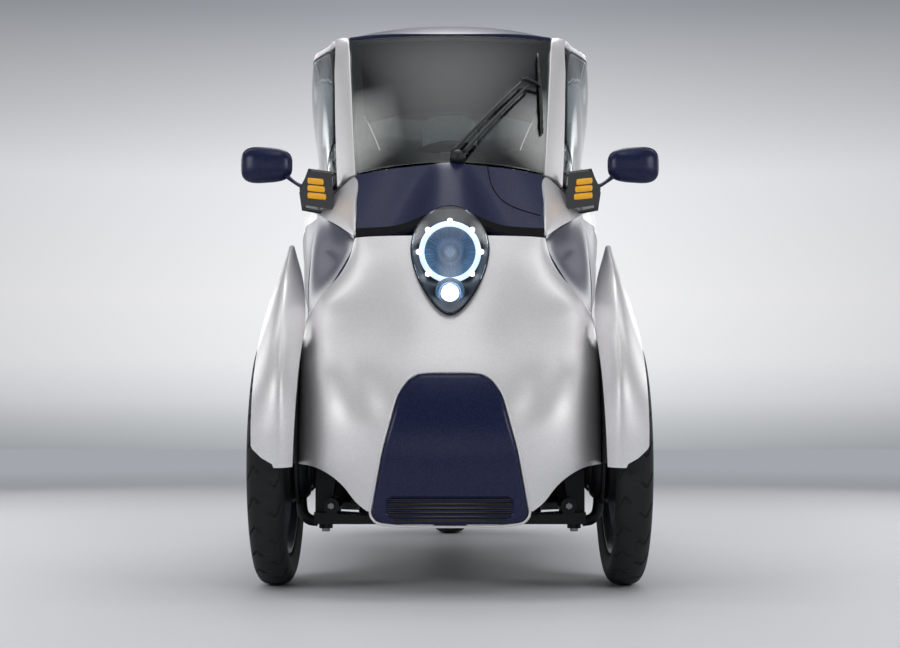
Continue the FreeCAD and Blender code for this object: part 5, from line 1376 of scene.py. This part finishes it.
def pad(name, low, high, shape, channels, node=None, power=0.24, inset=9.0, cap=24.0, pivot=None,
        tilt=0.0, finish=None):
    """A stuffed pad inside the block low to high, turned about pivot by tilt degrees. It starts as a squared-
    off ball whose cosines are raised to a power, is shaped by a function, remeshed and blown up, and each
    point moves at most cap. Channels are functions whose value is the distance to a seam, which is pressed in
    along a bell."""
    low, high = np.array(low, float), np.array(high, float)
    half, middle = (high - low) / 2 - inset, (high + low) / 2
    u, v = np.meshgrid(np.linspace(0, 2 * np.pi, 72, endpoint=False), np.linspace(-np.pi / 2, np.pi / 2, 37),
                       indexing="ij")
    soft = lambda w: np.sign(w) * np.abs(w) ** power
    ball = np.stack([soft(np.cos(v)) * soft(np.cos(u)), soft(np.cos(v)) * soft(np.sin(u)), soft(np.sin(v))],
                    -1)
    start = shape(ball.reshape(-1, 3) * half) + middle
    made = mesh_object(name, start * MM, grid_faces(72, 37, around=True), finish or seat_cloth, "body")
    remesh = made.modifiers.new("remesh", "REMESH")
    remesh.voxel_size = SEAT_VOXEL * MM
    made.data = evaluated(made)
    made.modifiers.clear()
    before = places(made.data)
    cloth = made.modifiers.new("cloth", "CLOTH")
    cloth.settings.use_pressure = True
    cloth.settings.uniform_pressure_force = 4
    cloth.settings.effector_weights.gravity = 0
    for moment in range(1, SWELL_TIME + 1):
        bpy.context.scene.frame_set(moment)
    move = places(evaluated(made)) - before
    made.modifiers.clear()
    bpy.context.scene.frame_set(1)
    length = np.linalg.norm(move, axis=1)[:, None]
    put_places(made.data, before + move * np.minimum(1, cap / np.maximum(length, 1e-6)))
    finer = made.modifiers.new("finer", "SUBSURF")
    finer.levels = finer.render_levels = 1
    made.data = evaluated(made)
    made.modifiers.clear()
    points = places(made.data)
    normals = np.empty(len(points) * 3, np.float32)
    made.data.vertices.foreach_get("normal", normals)
    inwards = sum(SEAM_WIDTH * np.exp(-(channel(points - middle) / SEAM_WIDTH) ** 2) for channel in channels)
    points = points - normals.reshape(-1, 3) * inwards[:, None]
    points = np.clip(points, low + 0.5, high - 0.5)
    if tilt:
        points = leaned(points, pivot, tilt)
    put_places(made.data, points)
    made.data.polygons.foreach_set("use_smooth", np.ones(len(made.data.polygons), bool))
    if node:
        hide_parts(node)
    return made


def cushion_shape(p):
    """Raised bolsters along both sides, a hollow between them and a front edge that rolls down."""
    side = smooth((np.abs(p[:, 0]) / np.abs(p[:, 0]).max() - 0.62) / 0.3)
    top = smooth((p[:, 2] + 5) / 30)
    drop = top * (14 * (1 - side) + 10 * smooth((-p[:, 1] / np.abs(p[:, 1]).max() - 0.7) / 0.3))
    return p - np.stack([0 * drop, 0 * drop, drop], 1)


def back_shape(p):
    """Narrower towards the top, hollow between side bolsters, and fuller at the small of the back."""
    share = (p[:, 2] / np.abs(p[:, 2]).max() + 1) / 2
    side = smooth((np.abs(p[:, 0]) / np.abs(p[:, 0]).max() - 0.6) / 0.3)
    front = smooth((-p[:, 1] + 5) / 25)
    set_back = front * (12 * (1 - side) - 7 * (1 - side) * np.exp(-((share - 0.3) / 0.16) ** 2))
    return np.stack([p[:, 0] * (1 - 0.22 * smooth((share - 0.45) / 0.5)), p[:, 1] + set_back, p[:, 2]], 1)


def across(count, reach, axis):
    """Distances to level seams, evenly spaced between the bolsters."""
    lines = np.linspace(-reach, reach, count)
    return [lambda p, at_line=line: np.where(np.abs(p[:, 0]) < 128, np.abs(p[:, axis] - at_line), 99)
            for line in lines]


bolster_seams = [lambda p: np.abs(np.abs(p[:, 0]) - 130)]
front_pivot = np.array((0, FRONT_AXLE + 980, seat_low + 60))
pad("front_cushion_padded", (-215, FRONT_AXLE + 540, seat_low), (215, FRONT_AXLE + 965, seat_low + 100),
    cushion_shape, bolster_seams + across(4, 130, 1), "front_seat")
pad("front_back_padded", (-205, FRONT_AXLE + 975, seat_low + 8), (205, FRONT_AXLE + 1050, 1090), back_shape,
    bolster_seams + across(7, 300, 2), pivot=front_pivot, tilt=FRONT_RECLINE, inset=8.0,
    cap=22.0)
# The headrest takes the paler cloth, painted light.
pad("headrest_padded", (-88, FRONT_AXLE + 985, 1120), (88, FRONT_AXLE + 1045, 1290), lambda p: p,
    [lambda p: np.abs(p[:, 1] - 6)], pivot=front_pivot, tilt=FRONT_RECLINE, power=0.5,
    inset=7.0, finish=headrest_painted_light_cloth)
rear_pivot = np.array((0, FRONT_AXLE + 1550, rear_low + 45))
pad("rear_cushion_padded", (-180, FRONT_AXLE + 1210, rear_low), (180, FRONT_AXLE + 1522, rear_low + 85),
    cushion_shape, bolster_seams + across(3, 80, 1), "rear_seat")
pad("rear_back_padded", (-180, FRONT_AXLE + 1535, rear_low + 44), (180, FRONT_AXLE + 1600, 1080), back_shape,
    bolster_seams + across(5, 190, 2), pivot=rear_pivot, tilt=REAR_RECLINE, inset=8.0,
    cap=22.0)
for side, name in ((1, "left"), (-1, "right")):
    post = np.array([(side * 45, FRONT_AXLE + 1012, z) for z in np.linspace(1072, 1136, 8)])
    line = leaned(post, front_pivot, FRONT_RECLINE)
    tube("headrest_post_" + name, line, 5.8, satin_trim, "body", sides=16, up=(1, 0, 0))

# Steering wheel
# Three-spoke wheel with a thick leather-covered rim, sewn along its inner side, and a padded hub over the
# column.
WHEEL_STATION = 500.0
WHEEL_HEIGHT = 905.0
WHEEL_TILT = 24.0
WHEEL_RIM = 160.0
wheel_middle = np.array((0, FRONT_AXLE + WHEEL_STATION, WHEEL_HEIGHT))
lean = math.radians(WHEEL_TILT)
wheel_axis = np.array((0, math.cos(lean), math.sin(lean)))
wheel_down = np.array((0, math.sin(lean), -math.cos(lean)))
wheel_leather = moulded_plastic("smooth_black_leather", "#141518", 0.46, grain=2.2, depth=0.16)
turn = np.linspace(0, 2 * np.pi, 160, endpoint=False)
grip = 12.6 + 1.2 * (smooth((np.cos(turn - 1.25) - 0.86) / 0.1)
                     + smooth((np.cos(turn - np.pi + 1.25) - 0.86) / 0.1))


def wheel_loop(radius, lift):
    """Circle about the wheel's axis: X is its first direction and the way down the wheel its second,
    reversed."""
    return (wheel_middle + radius * (np.cos(turn)[:, None] * np.array((1, 0, 0))
                                     - np.sin(turn)[:, None] * wheel_down)
            + lift * wheel_axis)


angle = np.linspace(0, 2 * np.pi, 20, endpoint=False)[None, :, None]
centres = wheel_loop(WHEEL_RIM, 0)
out = (centres - wheel_middle) / WHEEL_RIM
ring = centres[:, None] + grip[:, None, None] * (np.cos(angle) * out[:, None] + np.sin(angle) * wheel_axis)
wheel_rim = mesh_object("steering_wheel_rim", ring * MM, grid_faces(160, 20, around=True, closed=True),
                        wheel_leather, "steering_wheel")
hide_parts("steering_wheel")
for k, way in enumerate((np.array((1.0, 0, 0)), np.array((-1.0, 0, 0)), wheel_down)):
    share = np.linspace(0.15, 0.97, 14)[:, None]
    line = wheel_middle - wheel_axis * 12 * (1 - share**2) + way * WHEEL_RIM * share
    tube("steering_spoke_%d" % k, line, 15 - 7 * share[:, 0], satin_trim, "steering_wheel",
         sides=16, flatten=0.42, up=wheel_axis)
hub = [(0.01, 7), (26, 6), (44, 1), (50, -8), (48, -18), (40, -30), (14, -32), (14, -8), (0.01, -8)]
hub_turn = np.linspace(0, 2 * np.pi, 64, endpoint=False)[:, None]
r, lift = np.array(hub, float).T
hub_points = (wheel_middle + (r * np.cos(hub_turn))[..., None] * np.array((1, 0, 0))
              - (r * np.sin(hub_turn))[..., None] * wheel_down
              + lift[:, None] * wheel_axis)
mesh_object("steering_hub", hub_points * MM, grid_faces(64, len(hub), around=True), wheel_leather,
            "steering_wheel")

# Instrument display
# A flat dark glass display on the slope of the dashboard in front of the driver, with a few lit bars under
# it.
display_glass = moulded_plastic("display_black_glass", "#05070A", 0.08, grain=30.0, depth=0.004, coat=1.0)
bar_glow = glowing("display_bar_white", "#CFE6F2", 1.2)


def on_dash(x, share, lift):
    """Point over the dashboard's slope, share 0 at its upper edge and 1 at its lower edge."""
    return at(x, 300 + 72 * share + 0.44 * lift, 940 - 35 * share + 0.90 * lift)


panel("instrument_display", lambda a, b: on_dash(86 * (2 * a - 1), 0.12 + 0.72 * b, 4.0), 21, 9, 3.6,
      display_glass, "body", inside=(0, -0.6, 0.7), edge=1.4)
for k in range(5):
    panel("instrument_bar_%d" % k, lambda a, b: on_dash(-56 + 28 * k + 20 * a, 0.56 + 0.12 * b, 4.5), 7, 3,
          0.6, bar_glow, "body", inside=(0, -0.6, 0.7), edge=0.1)

# Tyres
# Black rubber tyres with curved sipes cut in the tread, a ribbed shoulder and smooth side walls.
TYRE_WIDTH = 78.0
RIM_RADIUS = 207.0
RIM_WIDTH = 58.0
REAR_TYRE_RADIUS = 235.0
REAR_TYRE_WIDTH = 118.0
REAR_RIM_RADIUS = 135.0
REAR_RIM_WIDTH = 96.0
REAR_AXLE = FRONT_AXLE + 1700
GROOVE_DEPTH = 4.5
SHOULDER_RIBS = 180

# Moulded rubber: a dull black, greyed here and there by dust, with a fine grit that takes the gloss away.
tyre_rubber, tree, shader = new_material("tyre_rubber_moulded", base=linear("#131416"), rough=0.62,
                                         specular=0.35)
where = add(tree, "ShaderNodeTexCoord").outputs["Object"]
dust = add(tree, "ShaderNodeTexNoise", {"Scale": 1 / (45 * MM), "Detail": 6.0}, {"Vector": where})
tone = add(tree, "ShaderNodeMix", {"data_type": "RGBA", 6: linear("#0F1012"), 7: linear("#212326")},
           {0: dust.outputs[0]})
tree.links.new(tone.outputs[2], shader.inputs["Base Color"])
grit = add(tree, "ShaderNodeTexNoise", {"Scale": 1 / (1.5 * MM), "Detail": 2.0}, {"Vector": where})
bump = add(tree, "ShaderNodeBump", {"Strength": 0.4, "Distance": 0.3 * MM}, {"Height": grit.outputs[0]})
tree.links.new(bump.outputs[0], shader.inputs["Normal"])


def tyre_piece(name, middle, radius, width, rim_radius, rim_width, sipes, body, node):
    """Tyre round the X axis. Its section is a flattened arch from bead to bead and back along the inside. The
    sipes are S-shaped: their phase turns with the distance across the tread."""
    rows, columns = 40, 720
    across = np.linspace(0, np.pi, rows)
    height = (radius - rim_radius) * 0.46
    x = width / 2 * np.sign(np.cos(across)) * np.abs(np.cos(across)) ** 0.62
    r = radius - height * (1 - np.sin(across))
    wall = [(rim_width / 2 + 2, rim_radius + 14), (rim_width / 2 - 1, rim_radius + 1)]
    section = [(wx, wr) for wx, wr in reversed(wall)] + list(zip(x, r)) + [(-wx, wr) for wx, wr in wall]
    section += [(-rim_width / 2 + 12, rim_radius + 6), (rim_width / 2 - 12, rim_radius + 6)]
    section = np.array(section)
    turn = np.linspace(0, 2 * np.pi, columns, endpoint=False)[:, None]
    px, pr = section[:, 0] + 0 * turn, section[:, 1] + 0 * turn
    share = px / (width / 2)
    bend = 0.55 * np.sign(share) * np.abs(share) ** 0.8 + 0.16 * np.sin(2.6 * np.pi * share)
    phase = turn / (2 * np.pi) * sipes + bend
    band = np.clip((0.055 - np.abs(phase - np.round(phase))) / 0.02, 0, 1)
    reach = smooth((0.90 - np.abs(share)) / 0.06) * smooth((np.abs(share) - 0.16) / 0.05)
    on_tread = smooth((pr - (radius - height * 0.9)) / 6)
    at_side = smooth((np.abs(share) - 0.95) / 0.02) * on_tread
    shoulder = 0.7 * np.maximum(0, np.sin(turn * SHOULDER_RIBS)) * at_side
    pr = pr - GROOVE_DEPTH * band * reach * on_tread - shoulder
    points = np.stack([px, pr * np.cos(turn), pr * np.sin(turn)], -1) + np.array(middle)
    faces = grid_faces(columns, len(section), around=True, closed=True)
    made = mesh_object(name, points * MM, faces, tyre_rubber, body)
    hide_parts(node)


for side, name in ((1, "left"), (-1, "right")):
    tyre_piece("tyre_front_%s_treaded" % name, (side * TRACK / 2, FRONT_AXLE, TYRE_RADIUS), TYRE_RADIUS,
               TYRE_WIDTH, RIM_RADIUS, RIM_WIDTH, 26, "wheel_front_" + name, "tyre_front_" + name)
tyre_piece("tyre_rear_treaded", (0, REAR_AXLE, REAR_TYRE_RADIUS), REAR_TYRE_RADIUS, REAR_TYRE_WIDTH,
           REAR_RIM_RADIUS, REAR_RIM_WIDTH, 24, "wheel_rear", "tyre_rear")

# Bolts
# Zinc-plated hexagon bolts: through the bush and under the ball joint of each wishbone, and five nuts round
# each front hub.
zinc = moulded_plastic("zinc_plated_steel", "#8B8D90", 0.36, grain=3.0, depth=0.03, metal=0.9)


def hexagons(name, places, axis, radius, height, finish, body):
    """Bolt heads in one mesh: six-sided discs that stand on their places along one axis, with a chamfered
    rim."""
    points, faces = [], []
    for place in places:
        profile = [(0.01, 0), (radius, 0), (radius, abs(height) * 0.8), (radius * 0.86, abs(height)),
                   (0.01, abs(height))]
        ring = turned([(r, math.copysign(o, height)) for r, o in profile], 6, place, axis)
        f = grid_faces(6, len(profile), around=True)
        a, b, c = ring.reshape(-1, 3)[f[1][:3]]
        outwards = np.dot(np.cross(b - a, c - a), (a + c) / 2 - np.array(place) * MM) > 0
        faces += [list(q) for q in (f if outwards else f[:, ::-1]) + len(points) * 6 * len(profile)]
        points.append(ring.reshape(-1, 3))
    made = mesh_object(name, np.concatenate(points), faces, finish, body)
    made.data.polygons.foreach_set("use_smooth", np.zeros(len(made.data.polygons), bool))


bush_x = TRACK / 2 - 85 - 38
hexagons("bush_bolts", [(side * bush_x, FRONT_AXLE - 68, 174) for side in (1, -1)], 1, 8.0, -6.0, zinc,
         "body")
hexagons("ball_joint_nuts", [(side * (TRACK / 2 - 109), FRONT_AXLE - 30, 124) for side in (1, -1)], 2, 9.0,
         -7.0, zinc, "body")
hexagons("frame_bolts", [(side * x, FRONT_AXLE - 75, z) for side in (1, -1) for x,
                         z in ((46, 200), (46, 380), (46, 290))], 1, 7.0, -5.0,
         zinc, "body")
for side, name in ((1, "left"), (-1, "right")):
    face = side * (TRACK / 2 + 18 + 10)
    nuts = [(face, FRONT_AXLE + 26 * math.cos(t), TYRE_RADIUS + 26 * math.sin(t))
            for t in np.arange(5) * 2 * math.pi / 5]
    hexagons("wheel_nuts_" + name, nuts, 0, 5.5, side * 4.0, zinc, "wheel_front_" + name)

# Front brakes
# Black cast housings close the inner side of each front wheel, and a curved link joins each to the end of its
# lower wishbone. Both are coated steel, bolted to the knuckle, and stay clear of the turning rim and tyre.
BRAKE_MIDDLE = 320.0
BRAKE_SECTION = [(18, -15), (56, -16), (80, -10), (91, 1), (93, 9), (88, 13), (18, 13)]
LINK = [(290, -34, 140), (308, -32, 143), (322, -26, 156), (327, -18, 182), (327, -8, 214)]
black_metal = moulded_plastic("black_coated_steel", "#15161A", 0.45, grain=1.4, depth=0.08, metal=0.4)
for side, name in ((1, "left"), (-1, "right")):
    turned_piece("brake_housing_" + name, [(r, side * o) for r, o in BRAKE_SECTION], 96,
                 (side * BRAKE_MIDDLE, FRONT_AXLE, TYRE_RADIUS), black_metal, "body", axis=0)
    line = spline(list(enumerate(LINK)))(np.linspace(0, len(LINK) - 1, 24))
    tube("lower_link_" + name, np.stack([side * line[0], FRONT_AXLE + line[1], line[2]], -1), 12.0,
         black_metal, "body", sides=20, up=(0, 1, 0))
    rim_bolts = [(side * (BRAKE_MIDDLE - 16), FRONT_AXLE + 66 * math.cos(t), TYRE_RADIUS + 66 * math.sin(t))
                 for t in np.arange(6) * math.pi / 3]
    hexagons("brake_bolts_" + name, rim_bolts, 0, 6.0, -side * 4.0, zinc, "body")

# Parts that keep their solids
# Wheels, suspension, frames and inner panels: cast alloy with a satin black coat, powder-coated steel, and
# grained plastic. Their edges are rounded where light would catch them.
alloy = moulded_plastic("cast_alloy_satin_grey", "#5E6268", 0.32, grain=1.5, depth=0.04, metal=0.85, coat=0.4)
grained_black = moulded_plastic("grained_black_plastic", "#17181B", 0.6, grain=1.6, depth=0.25)
KEPT = {"rim_front_left": alloy, "rim_front_right": alloy, "rim_rear": alloy, "knuckles": black_metal,
        "front_arms": black_metal, "front_subframe": black_metal, "rear_yoke": black_metal,
        "rear_frame": black_metal, "front_posts": black_metal, "fender_stays": grained_black,
        "sills": grained_black, "chassis_floor": grained_black, "dashboard": grained_black,
        "steering_wheel": grained_black, "battery": grained_black}
for node, finish in KEPT.items():
    kept = frame["nodes"][node]
    kept.data.materials.clear()
    kept.data.materials.append(finish)
    merge = kept.modifiers.new("merge", "WELD")
    merge.merge_threshold = 0.02 * MM
    kept.modifiers.new("flat", "DECIMATE").decimate_type = "DISSOLVE"
    kept.modifiers["flat"].angle_limit = math.radians(0.4)
    round_edges(kept, 1.2, angle=30)
